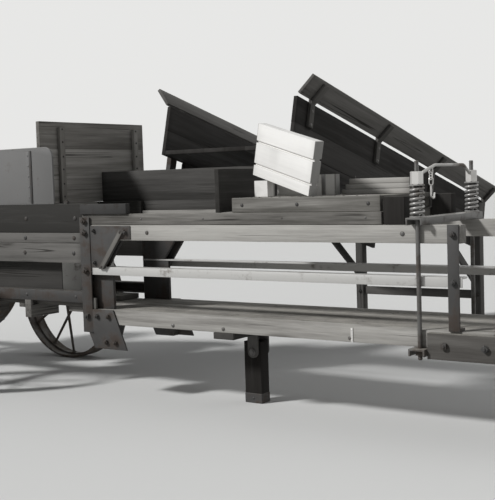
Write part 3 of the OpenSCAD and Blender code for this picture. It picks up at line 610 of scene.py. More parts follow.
def lathe(profile, sides=24, closed=False):
    """Turns points of (radius, height) about Z."""
    work = empty_work()
    points = [work.verts.new((radius, 0, height)) for radius, height in profile]
    pairs = list(zip(points, points[1:]))
    if closed:
        pairs.append((points[-1], points[0]))
    lines = [work.edges.new(pair) for pair in pairs]
    bmesh.ops.spin(work, geom=points + lines, cent=(0, 0, 0), axis=(0, 0, 1), angle=math.tau, steps=sides,
                   use_merge=True)
    bmesh.ops.remove_doubles(work, verts=work.verts, dist=0.00001)
    bmesh.ops.recalc_face_normals(work, faces=work.faces)
    return work


def turned(into, profile, sides, place, way, closed=False):
    """Puts a turned part on a face that looks a certain way."""
    put(into, lathe(profile, sides, closed), facing(place, way))


def both_ways(half):
    """Completes a profile that is alike on both sides of its middle."""
    return half + [(radius, -height) for radius, height in reversed(half) if height]


def disc(radius, top, foot, cut=0.001):
    """The profile of a flat disc whose upper edge is cut back."""
    return [(0, top), (radius - cut, top), (radius, top - cut), (radius, foot), (0, foot)]


def cut_off(work, place, normal):
    """Cuts away what lies beyond a plane and closes the cut."""
    cut = bmesh.ops.bisect_plane(work, geom=everything(work), plane_co=place, plane_no=normal,
                                 clear_outer=True)
    rim = [e for e in cut["geom_cut"] if isinstance(e, bmesh.types.BMEdge)]
    bmesh.ops.holes_fill(work, edges=rim, sides=0)


def nut(across, height, sides=6, both_ends=False):
    """A nut that stands on z = 0, with its corners cut back."""
    work = empty_work()
    corner = across / 2 / math.cos(math.pi / sides)
    bmesh.ops.create_cone(work, cap_ends=True, segments=sides, radius1=corner, radius2=corner, depth=height,
                          matrix=Matrix.Translation((0, 0, height / 2)))
    for corner_at in [v.co.copy() for v in work.verts]:
        upper = corner_at.z > height / 2
        if upper or both_ends:
            way = Vector((corner_at.x, corner_at.y, 0)).normalized()
            slant = way * 0.5 + Vector((0, 0, 0.87 if upper else -0.87))
            cut_off(work, way * across * 0.485 + Vector((0, 0, corner_at.z)), slant)
    return work


def head(into, place, way, radius=0.011, height=0.006):
    """A domed bolt or rivet head."""
    dome = [(0, height), (radius * 0.45, height * 0.92), (radius * 0.8, height * 0.6),
            (radius, height * 0.12), (radius, -0.001), (0, -0.001)]
    turned(into, dome, 12, place, way)


def bolt(into, place, way, across=0.024, sides=6, tip=0.006):
    """A nut on a washer, with the end of its bolt standing out."""
    at = facing(place, way, DICE.uniform(0, math.tau))
    washer, thick = 0.003, across * 0.55
    put(into, lathe(disc(across * 0.66, washer, -0.001), 18), at)
    put(into, nut(across, thick, sides), at @ Matrix.Translation((0, 0, washer)))
    put(into, lathe(disc(across * 0.3, thick + washer + tip, thick, 0.0015), 12), at)


sample = nut(0.024, 0.013)
print("a nut:", len(sample.faces), "faces, open edges", sum(not e.is_manifold for e in sample.edges))
sample.free()

# %% [markdown]
# A straight bar is a box with eased edges. A bent one starts as a disc that is pulled straight and spun round
# an arc at each bend. A split pin is a short bent bar whose tail is turned over.

# %% Bars, bent bars and pins
def mirrored(side, a, b):
    """Two distances from the middle as rising places on one side of it."""
    return sorted((side * a, side * b))


def bar(into, x, y, z, edge, segments=1, at=None):
    """A straight bar or plate with eased edges."""
    work = box_work(x, y, z)
    ease(work, edge, segments)
    put(into, work, at)


def pull(work, tip, move):
    """Pulls a face on by a distance and returns the new face."""
    made = bmesh.ops.extrude_face_region(work, geom=[tip, *tip.edges])["geom"]
    bmesh.ops.translate(work, vec=move, verts=[v for v in made if isinstance(v, bmesh.types.BMVert)])
    return [f for f in made if isinstance(f, bmesh.types.BMFace)][0]


def bent_bar(points, radius, bend=0.03, sides=14, steps=6):
    """A round bar through some points, bent round an arc at each corner."""
    work = empty_work()
    points = [Vector(point) for point in points]
    bmesh.ops.create_circle(work, cap_ends=True, segments=sides, radius=radius,
                            matrix=facing(points[0], points[1] - points[0]))
    tip = work.faces[:][0]
    here = points[0]
    for before, corner, after in zip(points, points[1:], points[2:]):
        way_in = (corner - before).normalized()
        way_out = (after - corner).normalized()
        angle = way_in.angle(way_out)
        start = corner - way_in * bend * math.tan(angle / 2)
        tip = pull(work, tip, start - here)
        axis = way_in.cross(way_out).normalized()
        bent = bmesh.ops.spin(work, geom=tip.verts[:] + tip.edges[:] + [tip], axis=axis, angle=angle,
                              cent=start + axis.cross(way_in) * bend, steps=steps)["geom_last"]
        tip = [f for f in bent if isinstance(f, bmesh.types.BMFace)][0]
        here = corner + way_out * bend * math.tan(angle / 2)
    pull(work, tip, points[-1] - here)
    bmesh.ops.remove_doubles(work, verts=work.verts, dist=0.000001)
    bmesh.ops.recalc_face_normals(work, faces=work.faces)
    return work


def split_pin(into, place, half, radius, bend=0.004, tail=0.004):
    """An upright split pin with its end bent over."""
    way = [(0, 0, -half), (0, 0, half - 0.002), (bend, 0, half + tail)]
    put(into, bent_bar(way, radius, bend=bend, sides=8), Matrix.Translation(place))


sample = bent_bar([(0, 0, 0), (0.1, 0, 0), (0.1, 0.1, 0)], 0.005)
print("a bent bar:", len(sample.faces), "faces, open edges", sum(not e.is_manifold for e in sample.edges))
sample.free()

# %% [markdown]
# The long rails make the picture: two sills, two top rails and the bands on them, each a single pale timber
# worn smooth by hay. Their sizes come straight from the frame, so each is one board between two corners.

# %% Rails, sills and bands
INNER = 0.220
RAIL_END = span("sills")[0].x
RAIL_OUT = span("sills")[1].y
FLOOR_TOP = span("chamber_floor")[1].z
BAND_TOP = span("rail_bands")[1].z


def board_pair(into, x, inner, outer, z, **settings):
    """The same board on both sides of the machine."""
    for side in (-1, 1):
        board(into, x, mirrored(side, inner, outer), z, **settings)


for name, material in (("sills", TIMBER_PALE), ("top_rails", TIMBER_PALE), ("rail_bands", TIMBER_BAND)):
    low, high = span(name)
    work = empty_work()
    board_pair(work, (low.x, high.x), INNER, high.y, (low.z, high.z), along=0, edge=0.004)
    stand_for(name, "timbers", work, material)
print("rails from", round(RAIL_END, 3), "to", round(span("sills")[1].x, 3))

# %% [markdown]
# The chamber's floor is three planks on bearers. The deck on top is cross planks on two runners, with three
# loose boards put down on it, as in the picture. Rows of like boards come from one helper that shares a
# width among them and leaves the real gap.

# %% Floors and deck
GAP = 0.004
TIGHT = -0.002
PLANK = 0.025
DECK_PLANKS = 7
LOOSE_BOARDS = 3
SLOT = 0.060


def row_of(into, count, x, y, z, across, gap=GAP, along=None, at=None):
    """Shares the span on one axis among a number of boards with gaps between them."""
    spans = [x, y, z]
    low, high = spans[across]
    width = (high - low - (count - 1) * gap) / count
    for i in range(count):
        spans[across] = (low + i * (width + gap), low + i * (width + gap) + width)
        board(into, *spans, along=along, at=at)


low, high = span("chamber_floor")
work = empty_work()
bearer_top = high.z - 0.030
row_of(work, 3, (low.x, high.x), (-INNER, INNER), (bearer_top, high.z), across=1, along=0)
for x in (low.x + 0.267, -1.400, -1.085, -0.380, high.x - 0.060):
    board(work, (x, x + 0.060), (-INNER, INNER), (low.z, bearer_top))
stand_for("chamber_floor", "planks", work, TIMBER_GREY)

low, high = span("deck")
work = empty_work()
deck_top = high.z - LOOSE_BOARDS * PLANK
runner = high.y - 0.030
board_pair(work, (low.x, high.x), runner, high.y, (low.z, deck_top))
row_of(work, DECK_PLANKS, (low.x, high.x), (-runner, runner), (deck_top - PLANK, deck_top), across=0)
for i in range(LOOSE_BOARDS):
    foot = deck_top + PLANK * i
    board(work, (-0.555 + 0.020 * i, high.x - 0.005), (0.040, 0.190), (foot, foot + PLANK), tone=1.6)
stand_for("deck", "planks", work, TIMBER_DECK)

# The deck stops are near-black timber. This is painted shade at the deck's end.
low, high = span("deck_stops")
work = empty_work()
board_pair(work, (low.x, high.x), 0.216, high.y, (low.z, high.z), along=2)
stand_for("deck_stops", "blocks", work, TIMBER_BLACK)

low, high = span("housing_slides")
work = empty_work()
for side in (-1, 1):
    board(work, (low.x, high.x), mirrored(side, SLOT, INNER), (high.z - 0.030, high.z))
    for x in (low.x, (low.x + high.x) / 2, high.x + 0.077):
        board(work, (x, x + 0.050), mirrored(side, SLOT, RAIL_OUT), (low.z, high.z - 0.030))
        if x > low.x:
            hanger = mirrored(side, RAIL_OUT - 0.016, RAIL_OUT)
            board(work, (x, x + 0.050), hanger, (high.z - 0.031, high.z + 0.030), along=2)
stand_for("housing_slides", "strips", work, TIMBER_GREY)
print("floor top at", round(FLOOR_TOP, 3), "deck planks at", round(deck_top, 3))

# %% [markdown]
# The plunger runs in a housing of stacked side timbers, each set in from the one below. Above it stands a
# planked end board across the machine, and lower boards close the hopper on the far side and to the right.
# Most of these are old and nearly black, and the end board is paler. The top side timber is darker still:
# painted shade under the hopper's edge.

# %% Housing and hopper
low, high = span("housing_sides")
HOUSING_TOP = high.z
# The top step's low tone is painted shade under the hopper's edge. The two lower steps keep a plain tone.
SIDE_STEPS = ((0.713, 0.820, 0.0, 0.75), (0.820, 0.876, 0.008, 0.7), (0.876, HOUSING_TOP, 0.020, -0.3))
work = empty_work()
for side in (-1, 1):
    for bottom, top, set_in, tone in SIDE_STEPS:
        board(work, (low.x, high.x), mirrored(side, INNER, RAIL_OUT - set_in), (bottom, top),
              tone=tone + 0.1 * DICE.random())
    stay = mirrored(side, INNER + 0.008, RAIL_OUT - 0.008)
    board(work, (low.x, low.x + 0.060), stay, (low.z, SIDE_STEPS[0][0]))
stand_for("housing_sides", "timbers", work, TIMBER_SIDE)

low, high = span("end_board")
THICK = 0.028
work = empty_work()
row_of(work, 3, (low.x, low.x + THICK), (low.y, high.y), (low.z, high.z), across=2, along=1, gap=TIGHT)
for y in (-0.105, high.y - 0.110):
    board(work, (low.x + THICK, high.x), (y, y + 0.040), (low.z, high.z - 0.030))
stand_for("end_board", "planks", work, TIMBER_BROWN)

low, high = span("hopper_boards")
work = empty_work()
inner_x = high.x - THICK
far = (high.y - 0.024, high.y)
board(work, (RAIL_END - 0.008, inner_x), far, (BAND_TOP + TIGHT, HOUSING_TOP))
row_of(work, 2, (low.x, inner_x), far, (HOUSING_TOP + TIGHT, high.z), across=2, along=0, gap=TIGHT)
board(work, (inner_x, high.x), (low.y, -low.y), (BAND_TOP, BAND_TOP + 0.213))
stand_for("hopper_boards", "planks", work, TIMBER_DARK)
print("hopper from", round(low.x, 3), "to", round(high.x, 3))

# %% [markdown]
# The feed table hangs on its own shaft and slopes down, away from the chamber, so it is easiest to build it
# level, along s and n, and to tilt the finished boards. One matrix does that for every piece of the table.

# %% Feed table
shaft_low, shaft_high = span("feed_trough")
SLOPE = math.radians(-14.5)
HINGE = Vector((0, 0.400, 1.301))
TILT = Matrix.Translation(HINGE) @ Matrix.Rotation(SLOPE, 4, "X")
TABLE_X = (shaft_low.x + 0.048, shaft_high.x - 0.048)
TABLE_SIDES = ((-1, TABLE_X[0]), (1, TABLE_X[1]))
TABLE_L = 2.455
HEAD = 0.128
CORNER = 0.045
SKIRT = 0.065
SIDE_TOP = 0.240
BOARD = 0.025

work = empty_work()
for side, edge_x in TABLE_SIDES:
    x = sorted((edge_x, edge_x - side * BOARD))
    row_of(work, 2, x, (-HEAD, TABLE_L), (-CORNER, SIDE_TOP), across=2, along=1, at=TILT, gap=TIGHT)
    board(work, x, (0.060, TABLE_L), (-CORNER - SKIRT, -CORNER), along=1, at=TILT)
inside = (TABLE_X[0] + BOARD, TABLE_X[1] - BOARD)
row_of(work, 6, inside, (-HEAD, TABLE_L - BOARD), (-CORNER, -CORNER + BOARD), across=0, along=1, at=TILT,
       gap=TIGHT)
board(work, inside, (TABLE_L - BOARD, TABLE_L), (-CORNER, 0.040), along=0, at=TILT)
stand_for("feed_trough", "boards", work, TIMBER_BLACK)

FLARE_FOOT = SIDE_TOP + 0.020
FLARE_W = 0.125
FLARE_LEAN = math.radians(41)
BATTENS = (-0.020, 0.745, 1.510, TABLE_L - 0.075)
work = empty_work()
for side, edge_x in TABLE_SIDES:
    foot = TILT @ Matrix.Translation((edge_x - side * 0.004, 0, FLARE_FOOT))
    lean = foot @ Matrix.Rotation(side * FLARE_LEAN, 4, "Y")
    board(work, mirrored(side, 0, 0.020), (-HEAD, TABLE_L), (0, FLARE_W), along=1, at=lean)
    for s in BATTENS:
        board(work, sorted((edge_x, edge_x + side * 0.020)), (s, s + 0.045), (SIDE_TOP - 0.140, FLARE_FOOT),
              at=TILT, tone=0.2 * DICE.random() - 0.3)
        board(work, mirrored(side, 0.019, 0.039), (s, s + 0.045), (-0.012, FLARE_W - 0.012), at=lean)
stand_for("feed_flares", "boards", work, TIMBER_FLARE)

low, high = span("feed_legs")
LEG_Y = high.y - 0.060
LEG_TOP = high.z
BRACE_FOOT = Vector((0, LEG_Y + 0.020, 0.335))
brace_y = LEG_Y - 0.760
BRACE_TOP = Vector((0, brace_y - 0.005, HINGE.z - (brace_y - HINGE.y) * math.tan(-SLOPE)))
work = empty_work()
for x in (TABLE_X[0] - 0.060, TABLE_X[1]):
    board(work, (x, x + 0.060), (LEG_Y - 0.035, LEG_Y + 0.035), (0.012, LEG_TOP))
    board(work, (x - 0.030, x + 0.090), (LEG_Y - 0.060, LEG_Y + 0.060), (0, 0.012), along=1)
board(work, (TABLE_X[0] - 0.020, TABLE_X[1] + 0.020), (LEG_Y - 0.015, LEG_Y + 0.015), (0.240, 0.300))
run = BRACE_TOP - BRACE_FOOT
brace = Matrix.Translation(BRACE_FOOT) @ Matrix.Rotation(math.atan2(-run.y, run.z), 4, "X")
for x in (TABLE_X[0] - 0.020, TABLE_X[1]):
    board(work, (x, x + 0.020), (-0.028, 0.028), (0, run.length), along=2, at=brace)
stand_for("feed_legs", "posts", work, TIMBER_DARK)
print("feed table tilted by", round(math.degrees(SLOPE), 1), "degrees")

# %% [markdown]
# The tension gear squeezes the bales: two long rods pull the crossbars together through strong coil springs,
# and the men set them with the long nuts on top. Each spring is one round wire spun about its rod while it
# climbs, then ground flat at both ends. The screw thread is a small ridge spun the same way, much steeper in
# turns. A bent bar joins the two nuts, so that neither can work loose.

# %% Tension gear
def helix(section, radius, thick, low, rise, turns, per_turn):
    """A small round or three-sided section spun about Z while it climbs."""
    work = empty_work()
    stand = Matrix.Translation((radius, 0, low)) @ Matrix.Rotation(math.pi / 2, 4, "X")
    bmesh.ops.create_circle(work, cap_ends=True, segments=section, radius=thick, matrix=stand)
    steps = int(turns * per_turn)
    bmesh.ops.spin(work, geom=everything(work), cent=(0, 0, 0), axis=(0, 0, 1), dvec=(0, 0, rise / per_turn),
                   angle=math.tau * steps / per_turn, steps=steps)
    bmesh.ops.recalc_face_normals(work, faces=work.faces)
    return work


low, high = span("tension_springs")
WASHER = 0.006
WIRE = 0.012
TURNS = 6.3
SPRING_R = high.x - 0.001
SPRING = (low.z + WASHER, high.z - WASHER)
ROD_Y = high.y - high.x
ROD_R = 0.010
BORE = ROD_R + 0.0005
rise = (SPRING[1] - SPRING[0] - WIRE * 0.4) / TURNS
ring = [(BORE, 0), (SPRING_R, 0), (SPRING_R + 0.001, 0.001), (SPRING_R + 0.001, WASHER - 0.001),
        (SPRING_R, WASHER), (BORE, WASHER)]
coils = empty_work()
for side in (-1, 1):
    at = Matrix.Translation((0, side * ROD_Y, 0))
    coil = helix(12, SPRING_R - WIRE / 2, WIRE / 2, SPRING[0] + WIRE * 0.2, rise, TURNS, 30)
    cut_off(coil, (0, 0, SPRING[1]), (0, 0, 1))
    cut_off(coil, (0, 0, SPRING[0]), (0, 0, -1))
    put(coils, coil, at @ Matrix.Rotation(0.8, 4, "Z"))
    for foot in (low.z, high.z - WASHER):
        put(coils, lathe(ring, 40, closed=True), at @ Matrix.Translation((0, 0, foot)))
stand_for("tension_springs", "coils", coils, STEEL_COIL)

rod_foot, rod_top = (corner.z for corner in span("tension_rods"))
nut_foot, nut_top = (corner.z for corner in span("tension_nuts"))
LONG = nut_top - nut_foot
THREAD = 0.003
core = ROD_R - 0.001
shank = [(0, rod_foot), (core - 0.002, rod_foot), (core, rod_foot + 0.002), (core, rod_foot + 0.050),
         (ROD_R, rod_foot + 0.054), (ROD_R, high.z - 0.030), (core, high.z - 0.026), (core, rod_top - 0.002),
         (core - 0.002, rod_top), (0, rod_top)]
rods, nuts = empty_work(), empty_work()
for side in (-1, 1):
    at = Matrix.Translation((0, side * ROD_Y, 0))
    put(rods, lathe(shank, 20), at)
    for start, turns in ((high.z - 0.022, (rod_top - high.z + 0.019) / THREAD), (rod_foot + 0.003, 14)):
        put(rods, helix(3, core, 0.0012, start, THREAD, turns, 14), at)
    put(rods, nut(0.035, 0.018), at @ Matrix.Translation((0, 0, rod_foot + 0.020)))
    spun = Matrix.Translation((0, 0, nut_foot)) @ Matrix.Rotation(0.35 * side, 4, "Z")
    put(nuts, nut(LONG * 0.9, LONG, both_ends=True), at @ spun)
stand_for("tension_rods", "threaded", rods, STEEL_ROD)
stand_for("tension_nuts", "long_nuts", nuts, STEEL_BRIGHT)

TIE_Z = span("tie_bar")[1].z - 0.008
way = [(0, -ROD_Y + 0.020, TIE_Z - 0.040), (0, -0.107, TIE_Z), (0, 0.200, TIE_Z),
       (0, ROD_Y - 0.020, TIE_Z - 0.040)]
stand_for("tie_bar", "bent", bent_bar(way, 0.007, bend=0.05), STEEL_WORN)
print("springs of", TURNS, "turns, rods at", round(ROD_Y, 3))

# %% [markdown]
# Steel wheels of the time are a flat rim with a rib inside and two rows of round spokes laced to a cast hub.
# A spoke is a disc that is pulled along and scaled at each place. Each wheel is made lying flat, and stood up
# at the end.

# %% Laced wheels
def spoke(into, at, places, radii, oval=1.0, sides=14):
    """A spoke with a radius at each place along it; `oval` thins it along X."""
    work = empty_work()
    bmesh.ops.create_circle(work, cap_ends=True, segments=sides, radius=radii[0],
                            matrix=Matrix.Translation((0, 0, places[0])))
    tip = work.faces[:][0]
    for i in range(1, len(places)):
        tip = pull(work, tip, (0, 0, places[i] - places[i - 1]))
        grow = radii[i] / radii[i - 1]
        bmesh.ops.scale(work, vec=(grow, grow, 1), verts=tip.verts)
    bmesh.ops.scale(work, vec=(oval, 1, 1), verts=work.verts)
    bmesh.ops.recalc_face_normals(work, faces=work.faces)
    put(into, work, at)


def around(i, count):
    """The turn of one of some spokes or ribs."""
    return Matrix.Rotation(math.tau * i / count, 4, "Z")


def wheel_size(node_name):
    """A wheel's radius and half its width."""
    low, high = span(node_name)
    return (high.z - low.z) / 2, (high.y - low.y) / 2


def stand_up(node_name, ending, work, material, side=1):
    """Stands a wheel that was made lying flat in its place."""
    low, high = span(node_name)
    at = Matrix.Translation((low + high) / 2) @ Matrix.Rotation(math.pi / 2 * side, 4, "X")
    bmesh.ops.transform(work, matrix=at, verts=work.verts)
    stand_for(node_name, ending, work, material, corner=40)


LACED = 12
for node_name, side in (("wheel_near", 1), ("wheel_far", -1)):
    radius, hub = wheel_size(node_name)
    half, inside = 0.065, radius - 0.012
    work = empty_work()
    rim = [(radius, half - 0.004), (radius - 0.004, half), (radius - 0.014, half),
           (radius - 0.015, half - 0.006), (inside, half - 0.010), (inside, 0.014), (radius - 0.024, 0.012)]
    put(work, lathe(both_ways(rim), 96, closed=True))
    barrel = [(0.0225, hub), (0.040, hub), (0.044, hub - 0.006), (0.046, hub - 0.014), (0.052, hub - 0.017),
              (0.052, hub - 0.030), (0.044, hub - 0.036), (0.041, 0)]
    put(work, lathe(both_ways(barrel), 36, closed=True))
    for i in range(LACED):
        lean = -1 if i % 2 else 1
        turn = around(i, LACED)
        foot = Vector((0.042, 0, lean * (hub - 0.022)))
        rim_end = Vector((radius - 0.018, 0, lean * 0.006))
        run = rim_end - foot
        way = -run.normalized()
        spoke(work, turn @ facing(foot, run), (0, run.length), (0.0095, 0.008))
        put(work, nut(0.026, 0.012), turn @ facing(rim_end + way * 0.004, way))
        put(work, lathe([(0, 0.012), (0.013, 0.012), (0.015, 0.008), (0.015, -0.002), (0, -0.002)], 14),
            turn @ facing(foot, -way))
    for i in range(8):
        out = around(i + 0.5, 8).to_3x3() @ AXES[0]
        for across in (-0.040, 0.040):
            flat = [(0, 0.0008), (0.008, 0.0006), (0.009, -0.001), (0, -0.001)]
            turned(work, flat, 10, out * (radius - 0.0013) + AXES[2] * across, out)
    stand_up(node_name, "laced", work, IRON_WHEEL, side)
print("wheel spokes laced:", LACED)

# %% [markdown]
# The flywheel and the belt pulley are castings: their spokes are oval and swell where they meet hub and rim,
# because sharp corners crack as the iron cools.

# %% Cast wheels
FLY_RIM = both_ways([(0, 0.93), (-0.004, 1), (-0.050, 1), (-0.055, 0.9), (-0.048, 0.7)])
PULLEY_RIM = both_ways([(0, 0), (-0.0012, 0.5), (-0.004, 0.96), (-0.006, 1), (-0.014, 1), (-0.0145, 0.9),
                        (-0.011, 0.8), (-0.011, 0.12), (-0.018, 0.08)])
SHAFT_BORE = 0.025

for node_name, rim, hub_r, spokes, thick, oval in (("flywheel", FLY_RIM, 0.060, 6, 0.020, 0.62),
                                                   ("belt_pulley", PULLEY_RIM, 0.048, 5, 0.014, 0.6)):
    radius, half = wheel_size(node_name)
    work = empty_work()
    put(work, lathe([(radius + r, half * z) for r, z in rim], 96, closed=True))
    boss = [(SHAFT_BORE, half), (hub_r - 0.004, half), (hub_r, half - 0.004), (hub_r + 0.006, 0)]
    put(work, lathe(both_ways(boss), 40, closed=True))
    end = radius + min(r for r, z in rim) + 0.004
    places = (hub_r - 0.004, hub_r + 0.030, (hub_r + end) / 2, end - 0.025, end)
    radii = [thick * swell for swell in (1.7, 1.15, 1, 0.95, 1.5)]
    for i in range(spokes):
        spoke(work, around(i, spokes) @ facing((0, 0, 0), AXES[0]), places, radii, oval, sides=18)
    key = half + 0.006
    put(work, box_work((SHAFT_BORE - 0.002, SHAFT_BORE + 0.008), (-0.007, 0.007), (-key, key)))
    stand_up(node_name, "cast", work, IRON_DARK)
    print(node_name, "radius", round(radius, 3), "cast spokes", spokes)

# %% [markdown]
# The remaining wooden pieces carry holes, grooves or a shape that is more than a box: the divider block with
# its wire grooves, the pitman, the prop. Their shape in the construction is right already, so a merged copy
# of each node is eased, worn and given grain. The same copy suits sheet and iron pieces, without the wear.

# %% Shaped pieces
BLOCK_TURN = Matrix.Rotation(math.radians(-20), 3, "Z") @ Matrix.Rotation(math.radians(14), 3, "Y")
LONGEST_LEVEL_BLOCK = 0.3


def islands(work):
    """Lists the vertices of each separate solid, in the mesh's own order, so that every run is alike."""
    seen, found = set(), []
    for first in work.verts:
        if first not in seen:
            seen.add(first)
            group = [first]
            for v in group:
                for other in [edge.other_vert(v) for edge in v.link_edges]:
                    if other not in seen:
                        seen.add(other)
                        group.append(other)
            found.append(group)
    return found


def copied(node_name):
    """A merged copy of a node's mesh, counted from the rods, with flat faces made whole again."""
    work = empty_work()
    work.from_mesh(frame["nodes"][node_name].data)
    bmesh.ops.remove_doubles(work, verts=work.verts, dist=0.00002)
    bmesh.ops.dissolve_limit(work, angle_limit=math.radians(0.4), verts=work.verts, edges=work.edges)
    bmesh.ops.translate(work, vec=-HOME, verts=work.verts)
    return work


def shaped(node_name, material, edge, along=None, depth=0.0, step=0.0, slim=0.0, turn=None):
    """Replaces a node by its own shape with eased edges, and wear and grain where it is timber."""
    low, high = span(node_name)
    work = copied(node_name)
    if slim:
        bmesh.ops.scale(work, vec=(1 - slim, 1, 1 - slim), space=Matrix.Translation(-(low + high) / 2),
                        verts=work.verts)
    if step:
        cut_along(work, along, low[along], high[along], step)
    ease(work, edge)
    if depth:
        wear(work, depth)
    for group in islands(work):
        size = [max(v.co[i] for v in group) - min(v.co[i] for v in group) for i in range(3)]
        longest = max(range(3), key=lambda i: size[i])
        write_grain(work, group, longest if along is None else along,
                    turn=turn if size[longest] > LONGEST_LEVEL_BLOCK else None)
    stand_for(node_name, "shaped", work, material)


shaped("divider_block", TIMBER_WHITE, 0.003, along=0, depth=0.0012, step=0.06, turn=BLOCK_TURN)
for name, material, edge, along in (("pitman", TIMBER_DARK, 0.004, 0), ("prop_leg", TIMBER_BLACK, 0.004, 2),
                                    ("bale_table", TIMBER_GREY, 0.003, 0), ("plunger", TIMBER_DARK, 0.003, 0),
                                    ("leg_bracket", TIMBER_DARK, 0.003, 1)):
    shaped(name, material, edge, along)
shaped("mid_rails", STEEL_RAIL, 0.0012)
shaped("crossbars", STEEL_ROD, 0.0012)
for iron in ("corner_posts", "side_panels", "foot_brackets", "main_beams", "stub_axles", "drawbar",
             "stand_bracket", "front_stand", "feed_brackets"):
    shaped(iron, STEEL_DARK, 0.0015)
# The hopper lip's near-black finish is painted shade.
shaped("hopper_lip", STEEL_SHADE_BLACK, 0.0015)
shaped("guard_panels", SHEET_GREY, 0.0015)
for iron in ("gear_case", "crank_bearing", "crank", "drive_stands"):
    shaped(iron, IRON_DARK, 0.003)
shaped("drive_shaft", STEEL_WORN, 0.002, slim=0.01)

# %% [markdown]
# Hay rides up the table on an apron: wooden slats bolted to two chains. The chains are of the detachable
# kind, each link a small cast frame whose hooked end clips round the bar of the next, so that a farmer could
# mend one with a hammer. One link is a barrel and two side bars, repeated along each strand.

# %% Feed apron
LINK = 0.041
LINKS = int((TABLE_L - 0.084) / LINK)
CHAIN_N = (-0.019, -0.009)
UPRIGHT = TILT.to_3x3() @ AXES[2]
strands = (TABLE_X[0] + 0.175, TABLE_X[1] - 0.175)
apron, chains = empty_work(), empty_work()
for x in strands:
    for i in range(LINKS):
        s = 0.026 + i * LINK
        for side in (-1, 1):
            bar(chains, sorted((x + side * 0.009, x + side * 0.014)), (s, s + LINK * 0.96), CHAIN_N, 0.0012,
                at=TILT)
        barrel = [(0, -0.0145), (0.0045, -0.0145), (0.0045, 0.0145), (0, 0.0145)]
        put(chains, lathe(barrel, 10), TILT @ facing((x, s + LINK * 0.5, sum(CHAIN_N) / 2), (1, 0, 0)))
for i in range(11):
    s = 0.060 + 0.210 * i
    board(apron, (TABLE_X[0] + 0.037, TABLE_X[1] - 0.037), (s, s + 0.045), (-0.008, 0.014), along=0, at=TILT)
    for x in strands:
        head(chains, TILT @ Vector((x, s + 0.022, 0.014)), UPRIGHT, 0.009, 0.004)
stand_for("feed_apron", "slats", apron, TIMBER_GREY)
finished("feed_chains", chains, IRON_DARK, "feed_apron")
print("links in each chain:", LINKS)

# %% [markdown]
# Timber and iron meet at bolts: square nuts over washers where a joint must be taken down, domed carriage
# bolts where hay slides past, small nails in the planks. Each row below is one joint, given by where its
# bolts stand and which way their face looks. The two sides of the machine are alike, so each row is put on
# both. A pale strip on the batten that braces each front post is painted highlight: the light edge of that
# batten.

# %% Bolts of the chamber
MID_SILL, MID_RAIL, MID_TOP, MID_BAND = 0.431, 0.676, 0.878, 0.940
POST_X = RAIL_END + 0.027
SEATED = RAIL_OUT + 0.008
UP = AXES[2]


def grid(xs, zs):
    """Places (x, z) in rows."""
    return [(x, z) for x in xs for z in zs]


def both_faces(into, spots, y, maker, **sizes):
    """Puts a bolt or head at each (x, z) on the near and the far face."""
    for side in (-1, 1):
        for x, z in spots:
            maker(into, (x, side * y, z), (0, side, 0), **sizes)


def nails_on_top(into, xs, ys, z):
    """Small flat heads in rows on a face that looks up."""
    for x, y in grid(xs, ys):
        head(into, (x, y, z), UP, 0.005, 0.001)


irons = empty_work()
both_faces(irons, grid([POST_X], (MID_SILL, MID_RAIL, MID_TOP, MID_BAND)), SEATED, bolt, across=0.026,
           sides=4)
both_faces(irons, grid([0.155], (MID_RAIL, MID_TOP)), SEATED, bolt, across=0.022)
both_faces(irons, [(-1.885, 0.720), (-1.885, 0.890), (-1.660, 0.880)], RAIL_OUT + 0.004, bolt, across=0.018)
both_faces(irons, [(-1.826, 0.700), (-1.688, 0.882)], RAIL_OUT + 0.020, head, radius=0.007, height=0.003)
both_faces(irons, [(-1.880, 0.435), (-1.800, 0.435), (-1.755, 0.300), (-1.820, 0.300)], SEATED, bolt,
           across=0.022)
finished("chamber_bolts", irons, STEEL_DARK, "corner_posts")

# Painted highlight: a pale strip along each brace batten stands for its lit edge.
highlight_strips = empty_work()
foot = Vector((-1.834, 0, 0.688))
run = Vector((-1.679, 0, 0.893)) - foot
lean = Matrix.Translation(foot) @ Matrix.Rotation(math.atan2(run.x, run.z), 4, "Y")
board_pair(highlight_strips, (-0.0135, 0.0135), RAIL_OUT + 0.0155, RAIL_OUT + 0.020, (0.006, run.length - 0.006),
           along=2, edge=0.0015, at=lean, tone=0.25)
finished("brace_highlight_strips", highlight_strips, TIMBER_BAND, "side_panels")

FLOOR_NAILS_X = (-1.055, -0.350, 0.300)
heads = empty_work()
both_faces(heads, grid((-1.370, *FLOOR_NAILS_X), [0.411]), RAIL_OUT, head, radius=0.010, height=0.004)
both_faces(heads, grid((-1.520, -0.080), [0.880]), RAIL_OUT, head, radius=0.011, height=0.005)
both_faces(heads, grid((-1.560, -1.160, -0.700, -0.260), [0.950]), RAIL_OUT - 0.004, head, radius=0.005,
           height=0.002)
nails_on_top(heads, FLOOR_NAILS_X, (-0.200, -0.150, 0.0, 0.150, 0.200), FLOOR_TOP)
finished("rail_bolts", heads, STEEL_ROD, "sills")

straps = empty_work()
strap_y = RAIL_OUT + 0.0025
for side in (-1, 1):
    bar(straps, (-0.345, -0.333), mirrored(side, RAIL_OUT, strap_y), (0.394, 0.458), 0.0008)
both_faces(straps, grid([-0.339], (0.402, 0.450)), strap_y, head, radius=0.004, height=0.0015)
finished("sill_strips", straps, STEEL_BRIGHT, "sills")

# %% [markdown]
# The housing's stacked timbers are held by long bolts from top to bottom and by carriage bolts at the ends.
# Nails show in every plank where it crosses a batten. The sheet guards have a wired edge: the rim of the
# sheet is rolled round a rod, which stiffens it and takes away the sharp edge. A dark folded seam joins the
# two sheets of each guard beside its row of rivets.

